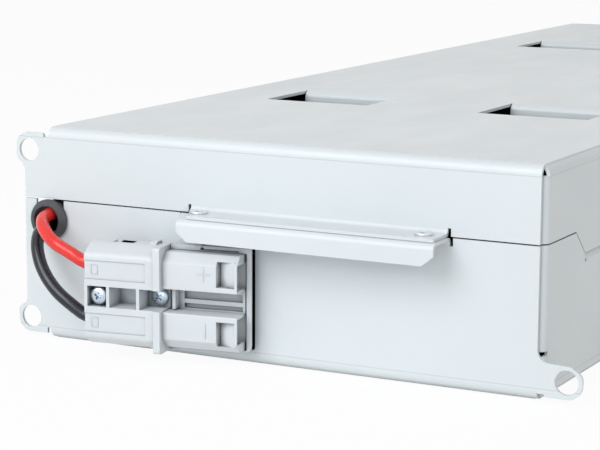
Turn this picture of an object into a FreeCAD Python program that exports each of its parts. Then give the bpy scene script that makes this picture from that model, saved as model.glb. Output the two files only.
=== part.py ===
import FreeCAD, Part
import math
import operator
import os
import Sketcher

# Battery cartridge of a two-unit-high power supply, as a parametric document.
# Millimetres, +Z up, +Y towards the back. Most pieces are drawn with y = 0 on the front face of the
# case; their Placement then moves the middle of the base to the origin.

SIZES = {
    # folded case
    "case_width": 206,
    "case_depth": 584,
    "case_height": 83,
    "wall": 1.2,
    "bend_radius": 4,
    "fold_radius": 2.8,
    "front_wing": 9,
    "corner_relief": 1.9,
    "corner_radius": 3.6,
    "return_width": 12,
    "return_start": 17,
    "return_slit": 1.4,
    "return_gap": 0.4,
    # seams between tray and cover
    "seam_height": 54.9,
    "seam_gap": 0.5,
    "side_seam_height": 46,
    "jog_front": 31,
    "jog_back": 41,
    "jog_slit": 1.4,
    "joggle_height": 2.2,
    "lap_height": 8,
    "lap_clearance": 0.1,
    # ears
    "ear_hole": 8.8,
    "ear_rim": 1.4,
    "left_ear_out": 110,
    "right_ear_out": 112.1,
    "lower_ear_height": 7.8,
    "upper_ear_height": 73.7,
    "ear_floor": 1.7,
    # folded handle
    "handle_left": 37.4,
    "handle_right": 66.7,
    "handle_taper": 5.4,
    "handle_step": 3.6,
    "relief_width": 1.2,
    "relief_depth": 3.2,
    "shelf_depth": 12.8,
    "lip_depth": 14.6,
    "lip_drop": 8.3,
    "lip_chamfer_width": 4.4,
    "lip_chamfer_height": 3.6,
    "handle_rivet_left": 30.8,
    "handle_rivet_right": 60,
    "handle_rivet_out": 5.9,
    "handle_rivet_hole": 4,
    "handle_rivet_head": 6.6,
    "rivet_head_height": 0.9,
    # lanced tabs in the cover
    "window_width": 47.4,
    "window_depth": 35.5,
    "window_offset": 48.9,
    "tab_place": 160,
    "tab_pitch": 290,
    "tab_length": 35,
    "tab_side_gap": 0.4,
    # rear rivets
    "rear_rivet_spacing": 140,
    "rear_rivet_hole": 3.2,
    "rear_rivet_head": 6,
    # lead opening and grommet
    "grommet_left": 100.6,
    "grommet_height": 47,
    "grommet_hole": 10.8,
    "grommet_groove": 12.6,
    "grommet_flange": 16,
    "grommet_back": 14.6,
    "grommet_front": 3.2,
    "grommet_inside": 2.2,
    "lead_notch_depth": 11,
    # connector, in its own turned frame
    "connector_left": 8.5,
    "connector_out": 2,
    "connector_height": 24.6,
    "connector_turn": 8,
    "housing_length": 63.5,
    "housing_half_height": 19.5,
    "housing_front": 13.5,
    "housing_bevel_height": 3.5,
    "housing_bevel_depth": 7,
    "housing_dome": 8,
    "rib_left": 40.2,
    "rib_right": 37.6,
    "rib_height": 1,
    "flange_place": 35.3,
    "flange_thickness": 2.6,
    "flange_half_height": 20,
    "flange_front": 14.6,
    "blade_end": 3.3,
    "blade_front": 12,
    "blade_outer": 18,
    "blade_bevel": 3.6,
    "slot_half": 3.9,
    "web_front": 3,
    "rail_low": 2.1,
    "rail_high": 0.5,
    "rail_depth": 1.8,
    "divider": 1.2,
    "divider_left": 54.6,
    "divider_right": 42.5,
    "screw_place_left": 58.4,
    "screw_place_right": 36.4,
    "screw_head": 6.6,
    "screw_head_height": 2.4,
    "screw_shank": 3.5,
    "screw_floor_left": 10.4,
    "screw_boss": 6.6,
    "pocket_floor": 6.5,
    "screw_floor_right": 4,
    "dip_left": 55.5,
    "dip_right": 47,
    "panel_inner": 6.4,
    "panel_outer": 13.6,
    "panel_recess": 0.5,
    "panel_end": 39,
    "window_near": 4.2,
    "window_far": 11.4,
    "mouth_inner": 6.4,
    "mouth_outer": 15.8,
    "mouth_depth": 7,
    "contact_spacing": 20.4,
    "contact_out": 7,
    "contact_barrel": 6.2,
    "contact_barrel_length": 18,
    "contact_inset": 6,
    "contact_width": 8,
    "contact_thickness": 1.5,
    "contact_clearance": 0.2,
    "carrier_length": 47,
    "carrier_half_height": 20,
    "carrier_rim": 2.7,
    "carrier_rim_front": 4,
    "carrier_slot_near": 6.2,
    "carrier_slot_far": 21.2,
    "carrier_toe": 8,
    "carrier_lip": 0.8,
    "carrier_bar_height": 1,
    "shoulder_height": 17.2,
    "carrier_arm_end": 62,
    "carrier_arm_height": 18,
    "screw_bite": 4.8,
    "port_left": 24,
    "port_right": 10.4,
    "port_bottom": 7.2,
    "port_top": 43.6,
    "wire_slot_left": 68.4,
    "wire_slot_right": 57,
    "wire_slot_bottom": 34,
    "wire_slot_top": 41.9,
    "carrier_screw_place": 40,
    "carrier_screw_spacing": 29,
    "carrier_screw_shank": 3,
    "carrier_screw_head": 6,
    "carrier_screw_depth": 5,
    # batteries, lying on their sides with the terminals to the front or the back
    "battery_width": 90,
    "battery_length": 101,
    "battery_lid": 7,
    "battery_round": 2,
    "battery_clearance": 0.3,
    "column_offset": 52,
    "terminal_offset": 33,
    "terminal_drop": 12.2,
    "terminal_width": 6.3,
    "terminal_thickness": 0.8,
    "terminal_length": 6.3,
    "receptacle_width": 7.8,
    "receptacle_height": 3,
    "receptacle_length": 7.4,
    "receptacle_total": 14,
    "crimp_diameter": 4.4,
    # wiring
    "jumper_diameter": 4,
    "jumper_channel": 3.4,
    "jumper_reach": 11.8,
    "jumper_straight": 6,
    "jumper_dip": 11.5,
    "jumper_rear_reach": 10,
    "lead_diameter": 5,
    # foam
    "foam_bottom": 3,
    "foam_top": 7.6,
    "foam_side_height": 36,
    "foam_top_margin": 8,
    "spacer_height": 48,
    "spacer_low_height": 28,
}

DOC = FreeCAD.newDocument("battery_cartridge")
NODES = []


class Size:
    """A number together with the spreadsheet expression that it comes from."""

    def __init__(self, value, text=None):
        self.value = float(value)
        self.bound = text is not None
        self.text = text if self.bound else repr(float(value))

    def join(self, other, sign, work):
        other = size_of(other)
        return Size(work(self.value, other.value), "(%s %s %s)" % (self.text, sign, other.text))

    def __add__(self, other):
        return self.join(other, "+", operator.add)

    def __sub__(self, other):
        return self.join(other, "-", operator.sub)

    def __mul__(self, other):
        return self.join(other, "*", operator.mul)

    def __truediv__(self, other):
        return self.join(other, "/", operator.truediv)

    def __radd__(self, other):
        return size_of(other) + self

    def __rsub__(self, other):
        return size_of(other) - self

    def __rmul__(self, other):
        return size_of(other) * self

    def __neg__(self):
        return size_of(0) - self


def size_of(number):
    return number if isinstance(number, Size) else Size(number)


class Sizes:
    """Gives each cell of the sheet as an attribute, such as S.wall."""

    def __init__(self, table):
        sheet = DOC.addObject("Spreadsheet::Sheet", "Sizes")
        for row, (alias, number) in enumerate(table.items(), start=1):
            cell = "B%d" % row
            sheet.set("A%d" % row, alias)
            sheet.set(cell, str(number))
            sheet.setAlias(cell, alias)
        DOC.recompute()
        for alias in table:
            setattr(self, alias, Size(sheet.get(alias), "Sizes." + alias))


S = Sizes(SIZES)

HALF_WIDTH = S.case_width / 2
INNER_RADIUS = S.bend_radius - S.wall
INNER_FOLD = S.fold_radius - S.wall
BEND_TOP = S.case_height - S.bend_radius
FLANGE_TOP = BEND_TOP - 0.5
FLANGE_FOOT = S.bend_radius + 0.5
SHEET_LEFT = -(HALF_WIDTH + S.front_wing)
STRIP_END = HALF_WIDTH - S.corner_relief
STRIP_START = S.corner_relief + 0.9
RETURN_FRONT = S.wall + S.return_gap
SEAM_TOP = S.seam_height + S.seam_gap / 2
SEAM_BOTTOM = S.seam_height - S.seam_gap / 2
TRAY_SIDE_TOP = S.side_seam_height - S.seam_gap - S.joggle_height
HOLE_RADIUS = S.ear_hole / 2
EAR_RADIUS = HOLE_RADIUS + S.ear_rim
COLUMNS = (-S.window_offset, S.window_offset)

# A tab row needs room behind it for a battery, its receptacles and the jumper that turns back
TAIL = S.receptacle_total + S.jumper_rear_reach + S.jumper_diameter / 2 + S.wall + S.battery_clearance
ROW_DEPTH = S.wall + S.battery_clearance + S.battery_length + TAIL
TAB_ROWS = [S.tab_place]
while (TAB_ROWS[-1] + S.tab_pitch + ROW_DEPTH).value <= S.case_depth.value:
    TAB_ROWS.append(TAB_ROWS[-1] + S.tab_pitch)


def bind(item, name, size):
    """Sets a property of an object to a size, by expression where the size comes from the sheet."""
    size = size_of(size)
    if size.bound:
        item.setExpression(name, size.text)
    elif name.startswith(".Placement.Base."):
        setattr(item.Placement.Base, name[-1], size.value)
    else:
        setattr(item, name, size.value)


def vector(u, v):
    return FreeCAD.Vector(u, v, 0)


# Sketches and PartDesign features

def round_corner(before, corner, after, radius):
    """Tangent points, centre and turning side of an arc that rounds a corner."""
    to_before = (before - corner).normalize()
    to_after = (after - corner).normalize()
    half = to_before.getAngle(to_after) / 2
    reach = radius / math.tan(half)
    middle = (to_before + to_after).normalize()
    centre = corner + middle * (radius / math.sin(half))
    left_turn = to_before.cross(to_after).z < 0
    return corner + to_before * reach, corner + to_after * reach, centre, left_turn


def draw_loop(sketch, corners):
    """Draws a closed outline. Each corner is (u, v) or (u, v, radius) in sizes."""
    corners = [tuple(size_of(number) for number in corner) for corner in corners]
    points = [vector(corner[0].value, corner[1].value) for corner in corners]
    count = len(corners)
    first = sketch.GeometryCount
    line_start = list(points)
    line_end = [points[(place + 1) % count] for place in range(count)]
    rounds = {}
    for place, corner in enumerate(corners):
        if len(corner) == 3:
            arc = round_corner(points[place - 1], points[place], points[(place + 1) % count], corner[2].value)
            rounds[place] = arc
            line_end[place - 1] = arc[0]
            line_start[place] = arc[1]
    geometry = [Part.LineSegment(line_start[place], line_end[place]) for place in range(count)]
    helpers = []
    links = []
    pins = []
    for place, corner in enumerate(corners):
        line_in = first + (place - 1) % count
        line_out = first + place
        if place not in rounds:
            links.append(Sketcher.Constraint("Coincident", line_in, 2, line_out, 1))
            pins.append((line_out, 1, corner))
            continue
        start, end, centre, left_turn = rounds[place]
        if not left_turn:
            start, end = end, start
        radius = corner[2].value
        angles = [math.atan2(point.y - centre.y, point.x - centre.x) for point in (start, end)]
        if angles[1] < angles[0]:
            angles[1] += 2 * math.pi
        arc = first + len(geometry)
        circle = Part.Circle(centre, FreeCAD.Vector(0, 0, 1), radius)
        geometry.append(Part.ArcOfCircle(circle, angles[0], angles[1]))
        from_end, to_end = (1, 2) if left_turn else (2, 1)
        links.append(Sketcher.Constraint("Tangent", line_in, 2, arc, from_end))
        links.append(Sketcher.Constraint("Tangent", arc, to_end, line_out, 1))
        helpers.append((place, arc, corner, line_in, line_out))
    sketch.addGeometry(geometry, False)
    for place, arc, corner, line_in, line_out in helpers:
        tip = sketch.addGeometry(Part.Point(points[place]), True)
        links.append(Sketcher.Constraint("PointOnObject", tip, 1, line_in))
        links.append(Sketcher.Constraint("PointOnObject", tip, 1, line_out))
        pins.append((tip, 1, corner))
    sketch.addConstraint(links)
    for geo, end, corner in pins:
        pin_point(sketch, geo, end, corner[0], corner[1])
    for place, arc, corner, line_in, line_out in helpers:
        pin_radius(sketch, arc, corner[2])


def pin_point(sketch, geo, end, u, v):
    for kind, size, axis in (("DistanceX", u, -2), ("DistanceY", v, -1)):
        if abs(size.value) < 1e-9:
            sketch.addConstraint(Sketcher.Constraint("PointOnObject", geo, end, axis))
            continue
        index = sketch.addConstraint(Sketcher.Constraint(kind, -1, 1, geo, end, size.value))
        if size.bound:
            sketch.setExpression("Constraints[%d]" % index, size.text)


def pin_radius(sketch, geo, radius):
    index = sketch.addConstraint(Sketcher.Constraint("Radius", geo, radius.value))
    if radius.bound:
        sketch.setExpression("Constraints[%d]" % index, radius.text)


def draw_circle(sketch, u, v, radius):
    u, v, radius = size_of(u), size_of(v), size_of(radius)
    circle = Part.Circle(vector(u.value, v.value), FreeCAD.Vector(0, 0, 1), radius.value)
    geo = sketch.addGeometry(circle, False)
    pin_point(sketch, geo, 3, u, v)
    pin_radius(sketch, geo, radius)


def rectangle(u, v):
    return [(u[0], v[0]), (u[1], v[0]), (u[1], v[1]), (u[0], v[1])]


def new_body(name):
    return DOC.addObject("PartDesign::Body", name)


def new_sketch(body, name, plane, level, loops=(), circles=()):
    """A sketch on one of the body's planes, moved along the axis that the plane lacks."""
    sketch = body.newObject("Sketcher::SketchObject", name)
    role = plane + "_Plane"
    support = [item for item in body.Origin.OriginFeatures if item.Role == role][0]
    sketch.AttachmentSupport = [(support, "")]
    sketch.MapMode = "FlatFace"
    level = size_of(level)
    shift = -level if plane == "XZ" else level
    if shift.value or shift.bound:
        sketch.setExpression(".AttachmentOffset.Base.z", shift.text)
    for loop in loops:
        draw_loop(sketch, loop)
    for circle in circles:
        draw_circle(sketch, *circle)
    return sketch


def extrude(body, kind, name, plane, low, high, loops, circles):
    """A pad or pocket between two levels of the axis that the plane lacks."""
    low, high = size_of(low), size_of(high)
    from_high = (kind == "Pad") == (plane == "XZ")
    level = high if from_high else low
    sketch = new_sketch(body, name + "_outline", plane, level, loops, circles)
    feature = body.newObject("PartDesign::" + kind, name)
    feature.Profile = sketch
    bind(feature, "Length", high - low)
    return feature


def pad(body, name, plane, low, high, *loops, circles=()):
    return extrude(body, "Pad", name, plane, low, high, loops, circles)


def pocket(body, name, plane, low, high, *loops, circles=()):
    return extrude(body, "Pocket", name, plane, low, high, loops, circles)


def revolve(body, name, plane, loop):
    """A full turn of an outline about the plane's upright axis."""
    sketch = new_sketch(body, name + "_outline", plane, 0, [loop])
    feature = body.newObject("PartDesign::Revolution", name)
    feature.Profile = sketch
    feature.ReferenceAxis = (sketch, ["V_Axis"])
    feature.Angle = 360
    return feature


# Part primitives and booleans

def block(name, x, y, z):
    item = DOC.addObject("Part::Box", name)
    for length, letter, span in (("Length", "x", x), ("Width", "y", y), ("Height", "z", z)):
        low, high = size_of(span[0]), size_of(span[1])
        bind(item, length, high - low)
        bind(item, ".Placement.Base." + letter, low)
    return item


ROD_TURNS = {
    "X": FreeCAD.Rotation(FreeCAD.Vector(0, 1, 0), 90),
    "Y": FreeCAD.Rotation(FreeCAD.Vector(1, 0, 0), -90),
    "Z": FreeCAD.Rotation(),
}


def rod(name, axis, across, low, high, diameter):
    """A cylinder along an axis, with its two other coordinates in across."""
    item = DOC.addObject("Part::Cylinder", name)
    item.Placement.Rotation = ROD_TURNS[axis]
    low, high = size_of(low), size_of(high)
    bind(item, "Radius", size_of(diameter) / 2)
    bind(item, "Height", high - low)
    others = [letter for letter in "XYZ" if letter != axis]
    bind(item, ".Placement.Base." + axis.lower(), low)
    for letter, size in zip(others, across):
        bind(item, ".Placement.Base." + letter.lower(), size)
    return item


def fuse(name, items):
    item = DOC.addObject("Part::MultiFuse", name)
    item.Shapes = items
    item.Refine = True
    return item


def cut(name, base, tool):
    item = DOC.addObject("Part::Cut", name)
    item.Base = base
    item.Tool = tool
    item.Refine = True
    return item


def group(name, items):
    item = DOC.addObject("Part::Compound", name)
    item.Links = items
    return item


# Placing the finished sub-parts

def keep(item, label, x=0, y=0, z=0):
    """Registers a sub-part and moves its own frame to its place in the case."""
    item.Label = label
    bind(item, ".Placement.Base.x", x)
    bind(item, ".Placement.Base.y", y - S.case_depth / 2)
    bind(item, ".Placement.Base.z", z)
    NODES.append(item)
    return item


def turn(item):
    """Turns an item from the connector's own frame into the frame of the case."""
    item.Placement.Rotation = FreeCAD.Rotation(FreeCAD.Vector(0, 0, 1), S.connector_turn.value)
    item.setExpression(".Placement.Rotation.Angle", S.connector_turn.text)
    bind(item, ".Placement.Base.x", -S.connector_left)
    bind(item, ".Placement.Base.y", -S.connector_out)
    bind(item, ".Placement.Base.z", S.connector_height)
    return item


def keep_turned(item, label):
    """Registers a sub-part that is drawn in the connector's turned frame."""
    turn(item)
    return keep(item, label, -S.connector_left, -S.connector_out, S.connector_height)


def mirrored(loop):
    return [(-size_of(corner[0]),) + tuple(corner[1:]) for corner in loop]


# Folded case

def folded_down(low, high):
    """Section of the cover's top sheet with its two bends."""
    t, r, top = S.wall, S.bend_radius, S.case_height
    return [
        (low, FLANGE_TOP), (low, top, r), (high, top, r), (high, FLANGE_TOP),
        (high - t, FLANGE_TOP), (high - t, top - t, INNER_RADIUS),
        (low + t, top - t, INNER_RADIUS), (low + t, FLANGE_TOP),
    ]


def folded_up(low, high):
    """Section of the tray's bottom sheet with its two bends."""
    t, r = S.wall, S.bend_radius
    return [
        (low, FLANGE_FOOT), (low + t, FLANGE_FOOT), (low + t, t, INNER_RADIUS), (high - t, t, INNER_RADIUS),
        (high - t, FLANGE_FOOT), (high, FLANGE_FOOT), (high, 0, r), (low, 0, r),
    ]


def side_wall_loop():
    """Plan of the right side wall with the returns at its two ends."""
    t, r = S.wall, S.corner_radius
    back = S.case_depth - t
    inner = HALF_WIDTH - S.return_width
    return [
        (inner, RETURN_FRONT), (HALF_WIDTH, RETURN_FRONT, r), (HALF_WIDTH, back, r), (inner, back),
        (inner, back - t), (HALF_WIDTH - t, back - t, r - t),
        (HALF_WIDTH - t, RETURN_FRONT + t, r - t), (inner, RETURN_FRONT + t),
    ]


def cut_handle_taper(body, name, left, depth, low, high):
    """Trims the left end of a handle shelf to its slant."""
    slant = [
        (left - 3, -S.wall), (left, -S.wall), (left + S.handle_taper, S.wall - depth),
        (left + S.handle_taper, -depth - 3), (left - 3, -depth - 3),
    ]
    pocket(body, name, "XY", low, high, slant)


def make_cover():
    t, depth, top = S.wall, S.case_depth, S.case_height
    body = new_body("cover_body")
    pad(body, "cover_lengthwise", "YZ", -STRIP_END, STRIP_END, folded_down(0, depth))
    pad(body, "cover_crosswise", "XZ", STRIP_START, depth - STRIP_START, folded_down(-HALF_WIDTH, HALF_WIDTH))
    ear_left = -(S.left_ear_out + EAR_RADIUS)
    ear_top = S.upper_ear_height + EAR_RADIUS + 1
    front = [
        (SHEET_LEFT, SEAM_TOP), (STRIP_END, SEAM_TOP), (STRIP_END, BEND_TOP),
        (-HALF_WIDTH - 0.2, BEND_TOP), (-HALF_WIDTH - 0.2, ear_top, 1), (ear_left, ear_top, 5.2),
        (ear_left, S.upper_ear_height - 3.3, 3), (SHEET_LEFT, S.upper_ear_height - 7, 3),
    ]
    pad(body, "cover_front", "XZ", 0, t, front)
    rear = rectangle((-STRIP_END, STRIP_END), (S.side_seam_height, BEND_TOP))
    pad(body, "cover_rear", "XZ", depth - t, depth, rear)
    side = side_wall_loop()
    pad(body, "cover_right", "XY", S.side_seam_height, BEND_TOP, side)
    pad(body, "cover_left", "XY", S.side_seam_height, BEND_TOP, mirrored(side))
    below = S.side_seam_height - 1
    jog = [
        (-1, below), (S.jog_back, below), (S.jog_back, S.side_seam_height), (S.jog_front, SEAM_TOP), (-1, SEAM_TOP),
    ]
    pocket(body, "cover_jog", "YZ", -HALF_WIDTH - 1, HALF_WIDTH + 1, jog)

    left, right = -S.handle_left, S.handle_right
    relief_top = S.seam_height + S.relief_depth
    notch = rectangle((left - S.relief_width, right + S.relief_width), (S.seam_height - 1, relief_top))
    pocket(body, "cover_handle_notch", "XZ", -1, t + 1, notch)
    shelf = [
        (t, relief_top), (t, S.seam_height, S.fold_radius), (-S.shelf_depth, S.seam_height),
        (-S.shelf_depth, S.seam_height + t), (0, S.seam_height + t, INNER_FOLD), (0, relief_top),
    ]
    pad(body, "cover_shelf", "YZ", left, right, shelf)
    above = S.seam_height + t + 0.5
    cut_handle_taper(body, "cover_shelf_taper", left, S.shelf_depth, S.seam_height - 1, above)

    for row, place in enumerate(TAB_ROWS, start=1):
        for column, centre in enumerate(COLUMNS, start=1):
            name = "window_%d_%d" % (row, column)
            across = (centre - S.window_width / 2, centre + S.window_width / 2)
            along = (place - S.window_depth, place + S.fold_radius)
            pocket(body, name, "XY", top - t - 1, top + 1, rectangle(across, along))
            foot, root = top - S.tab_length, place + S.fold_radius + 0.5
            tab = [
                (place, foot), (place + t, foot), (place + t, top - t, INNER_FOLD),
                (root, top - t), (root, top), (place, top, S.fold_radius),
            ]
            pad(body, name + "_tab", "YZ", across[0] + S.tab_side_gap, across[1] - S.tab_side_gap, tab)

    ear = (-S.left_ear_out, S.upper_ear_height, HOLE_RADIUS)
    pocket(body, "cover_ear_hole", "XZ", -1, t + 1, circles=[ear])
    rivets = [(place, REAR_RIVET_HEIGHT, S.rear_rivet_hole / 2) for place in REAR_RIVETS]
    pocket(body, "cover_rear_holes", "XZ", depth - t - 0.5, depth + 1, circles=rivets)
    holes = [(place, -S.handle_rivet_out, S.handle_rivet_hole / 2) for place in HANDLE_RIVETS]
    pocket(body, "cover_shelf_holes", "XY", S.seam_height - 0.5, S.seam_height + t + 1, circles=holes)
    keep(body, "cover")


REAR_RIVETS = (-S.rear_rivet_spacing / 2, S.rear_rivet_spacing / 2)
REAR_RIVET_HEIGHT = S.side_seam_height + S.lap_height / 2
HANDLE_RIVETS = (-S.handle_rivet_left, S.handle_rivet_right)


def joggle_loop(edge):
    """Section of the tray's lap: the wall steps inwards behind the cover's flange."""
    t = S.wall
    step = t + S.lap_clearance
    low = TRAY_SIDE_TOP
    knee = low + S.joggle_height
    lap_top = S.side_seam_height + S.lap_height
    return [
        (edge, low), (edge - step, knee), (edge - step, lap_top), (edge - step - t, lap_top),
        (edge - step - t, knee - 0.6), (edge - t, low - 0.6),
    ]


def make_tray():
    t, depth = S.wall, S.case_depth
    body = new_body("tray_body")
    pad(body, "tray_lengthwise", "YZ", -STRIP_END, STRIP_END, folded_up(0, depth))
    pad(body, "tray_crosswise", "XZ", STRIP_START, depth - STRIP_START, folded_up(-HALF_WIDTH, HALF_WIDTH))

    left_out = -(S.left_ear_out + EAR_RADIUS)
    right_out = S.right_ear_out + EAR_RADIUS
    ear_top = S.lower_ear_height + EAR_RADIUS
    notch_right = STRIP_END + 3
    notch_top = S.ear_floor + 1
    front = [
        (SHEET_LEFT, SEAM_BOTTOM), (SHEET_LEFT, ear_top, 2.5), (left_out, ear_top - 2.4, 2.5),
        (left_out, S.ear_floor, 5.4), (-HALF_WIDTH + 0.4, S.ear_floor), (-HALF_WIDTH + 0.4, S.bend_radius),
        (STRIP_END, S.bend_radius), (STRIP_END, notch_top, 0.6), (notch_right, notch_top, 0.6),
        (notch_right, S.ear_floor), (right_out, S.ear_floor, 5.4), (right_out, ear_top - 3, 3.4),
        (S.right_ear_out + 1.5, ear_top - 0.2, 4), (STRIP_END, ear_top + 0.5, 4.5), (STRIP_END, SEAM_BOTTOM),
    ]
    pad(body, "tray_front", "XZ", 0, t, front)
    rear = rectangle((-STRIP_END, STRIP_END), (S.bend_radius, TRAY_SIDE_TOP))
    pad(body, "tray_rear", "XZ", depth - t, depth, rear)
    side = side_wall_loop()
    pad(body, "tray_right", "XY", S.bend_radius, SEAM_BOTTOM, side)
    pad(body, "tray_left", "XY", S.bend_radius, SEAM_BOTTOM, mirrored(side))

    slit = S.return_start - S.return_slit
    inner = HALF_WIDTH - S.return_width - 1
    corner_end = RETURN_FRONT + S.corner_radius
    free = rectangle((inner, HALF_WIDTH + 1), (t, corner_end))
    pocket(body, "tray_return_ends", "XY", S.bend_radius, S.return_start, free, mirrored(free))
    toe = rectangle((HALF_WIDTH - t, HALF_WIDTH), (t, corner_end))
    pad(body, "tray_toes", "XY", S.bend_radius, slit, toe, mirrored(toe))

    above = SEAM_BOTTOM + 1
    slit_back = S.jog_back + S.jog_slit
    jog = [
        (S.jog_front, above), (S.jog_front, SEAM_BOTTOM), (S.jog_back, S.side_seam_height - S.seam_gap),
        (S.jog_back + 0.2, TRAY_SIDE_TOP - 0.8), (slit_back, TRAY_SIDE_TOP - 0.8), (slit_back, TRAY_SIDE_TOP),
        (depth + 1, TRAY_SIDE_TOP), (depth + 1, above),
    ]
    pocket(body, "tray_jog", "YZ", -HALF_WIDTH - 1, HALF_WIDTH + 1, jog)
    lap = joggle_loop(HALF_WIDTH)
    pad(body, "tray_right_lap", "XZ", slit_back, depth - S.return_width, lap)
    pad(body, "tray_left_lap", "XZ", slit_back, depth - S.return_width, mirrored(lap))
    rear_lap_end = HALF_WIDTH - S.return_width - 3
    pad(body, "tray_rear_lap", "YZ", -rear_lap_end, rear_lap_end, joggle_loop(depth))

    left, right = -S.handle_left - S.handle_step, S.handle_right + 0.8
    relief_bottom = S.seam_height - S.relief_depth
    notch = rectangle((left - S.relief_width, right + S.relief_width), (relief_bottom, S.seam_height + 1))
    pocket(body, "tray_handle_notch", "XZ", -1, t + 1, notch)
    lip_bottom = S.seam_height - S.lip_drop
    shelf = [
        (t, relief_bottom), (t, S.seam_height, S.fold_radius), (-S.lip_depth, S.seam_height, S.fold_radius),
        (-S.lip_depth, lip_bottom), (t - S.lip_depth, lip_bottom), (t - S.lip_depth, S.seam_height - t, INNER_FOLD),
        (0, S.seam_height - t, INNER_FOLD), (0, relief_bottom),
    ]
    pad(body, "tray_shelf", "YZ", left, right, shelf)
    cut_handle_taper(body, "tray_shelf_taper", left, S.lip_depth, lip_bottom - 1, S.seam_height + 1)
    wide, tall = S.lip_chamfer_width, S.lip_chamfer_height
    lip_left = left + S.handle_taper
    corners = [
        [(lip_left - 1, lip_bottom - 1), (lip_left + wide, lip_bottom - 1), (lip_left + wide, lip_bottom),
         (lip_left, lip_bottom + tall), (lip_left - 1, lip_bottom + tall)],
        [(right + 1, lip_bottom - 1), (right + 1, lip_bottom + tall), (right, lip_bottom + tall),
         (right - wide, lip_bottom), (right - wide, lip_bottom - 1)],
    ]
    pocket(body, "tray_lip_corners", "XZ", -S.lip_depth - 1, t + 1 - S.lip_depth, *corners)
    holes = [(place, -S.handle_rivet_out, S.handle_rivet_hole / 2) for place in HANDLE_RIVETS]
    pocket(body, "tray_shelf_holes", "XY", S.seam_height - t - 1, S.seam_height + 0.5, circles=holes)

    ears = [(place, S.lower_ear_height, HOLE_RADIUS) for place in (-S.left_ear_out, S.right_ear_out)]
    pocket(body, "tray_ear_holes", "XZ", -1, t + 1, circles=ears)
    half_slot = S.grommet_groove / 2
    slot_left, slot_right = -S.grommet_left - half_slot, half_slot - S.grommet_left
    throat = rectangle((slot_left, slot_right), (S.grommet_height, SEAM_BOTTOM + 1))
    pocket(body, "tray_grommet_throat", "XZ", -1, t + 1, throat)
    seat = (-S.grommet_left, S.grommet_height, half_slot)
    pocket(body, "tray_grommet_seat", "XZ", -1, t + 1, circles=[seat])
    passage = rectangle((-HALF_WIDTH - 1, -HALF_WIDTH + S.return_width + 1), (t, S.lead_notch_depth))
    pocket(body, "tray_lead_notch", "XY", S.grommet_height - 10, SEAM_BOTTOM + 1, passage)
    port = rectangle((-S.port_left, -S.port_right), (S.port_bottom, S.port_top))
    wire_slot = [(-S.wire_slot_left, S.wire_slot_bottom, 1.5), (-S.wire_slot_right, S.wire_slot_bottom, 1.5),
                 (-S.wire_slot_right, S.wire_slot_top, 1.5), (-S.wire_slot_left, S.wire_slot_top, 1.5)]
    pocket(body, "tray_connector_port", "XZ", -1, t + 1, port, wire_slot)
    screws = [(-S.carrier_screw_place, height, S.carrier_screw_shank / 2 + 0.2) for height in CARRIER_SCREWS]
    pocket(body, "tray_carrier_holes", "XZ", -1, t + 1, circles=screws)
    rivets = [(place, REAR_RIVET_HEIGHT, S.rear_rivet_hole / 2) for place in REAR_RIVETS]
    pocket(body, "tray_rear_holes", "XZ", depth - 3 * t - 0.5, depth - t, circles=rivets)
    keep(body, "tray")


CARRIER_SCREWS = [S.connector_height + side * S.carrier_screw_spacing / 2 for side in (-1, 1)]


def make_handle_rivets():
    """Tubular rivets: a dimpled head on the upper shelf and a rolled foot under the lower one."""
    top = S.seam_height + S.wall
    bottom = S.seam_height - S.wall
    rivets = []
    for number, place in enumerate(HANDLE_RIVETS, start=1):
        name = "handle_rivet_%d" % number
        across = (place, -S.handle_rivet_out)
        head = rod(name + "_head", "Z", across, top, top + S.rivet_head_height, S.handle_rivet_head)
        shank = rod(name + "_shank", "Z", across, bottom, top, S.handle_rivet_hole)
        foot = rod(name + "_foot", "Z", across, bottom - 0.6, bottom, S.handle_rivet_head - 0.8)
        dimple = rod(name + "_dimple", "Z", across, bottom - 1, top + 2, S.handle_rivet_hole - 1.6)
        solid = cut(name + "_solid", fuse(name + "_whole", [head, shank, foot]), dimple)
        rivets.append(solid)
    keep(group("handle_rivet_pair", rivets), "handle_rivets")


def make_rear_rivets():
    """Blind rivets through the cover's rear flange and the tray's lap."""
    depth, t = S.case_depth, S.wall
    inside = depth - 2 * t - S.lap_clearance
    rivets = []
    for number, place in enumerate(REAR_RIVETS, start=1):
        name = "rear_rivet_%d" % number
        across = (place, REAR_RIVET_HEIGHT)
        head = rod(name + "_head", "Y", across, depth, depth + S.rivet_head_height, S.rear_rivet_head)
        shank = rod(name + "_shank", "Y", across, inside, depth, S.rear_rivet_hole)
        foot = rod(name + "_foot", "Y", across, inside - 1.2, inside, S.rear_rivet_head - 1)
        rivets.append(fuse(name + "_solid", [head, shank, foot]))
    keep(group("rear_rivet_pair", rivets), "rear_rivets")


def make_grommet():
    body = new_body("grommet_body")
    hole, groove = S.grommet_hole / 2, S.grommet_groove / 2
    flange, back = S.grommet_flange / 2, S.grommet_back / 2
    t = S.wall
    front, inside = -S.grommet_front, t + S.grommet_inside
    loop = [
        (hole, front + 0.6, 0.5), (hole + 1.2, front, 0.7), (flange, front / 2, 0.9), (flange, 0), (groove, 0),
        (groove, t), (back, t), (back, inside, 0.7), (hole, inside),
    ]
    revolve(body, "grommet_turn", "XY", loop)
    keep(body, "grommet", -S.grommet_left, 0, S.grommet_height)


# Power connector, drawn in its own frame: x along its length with 0 at the right end of the carrier,
# y = 0 on the seat between carrier and housing with -y outwards, z = 0 on its middle line

def upper_and_lower(loop):
    """An outline above the middle line and its mirror image below."""
    return [loop, [(corner[0], -size_of(corner[1])) + tuple(corner[2:]) for corner in loop]]


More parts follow.
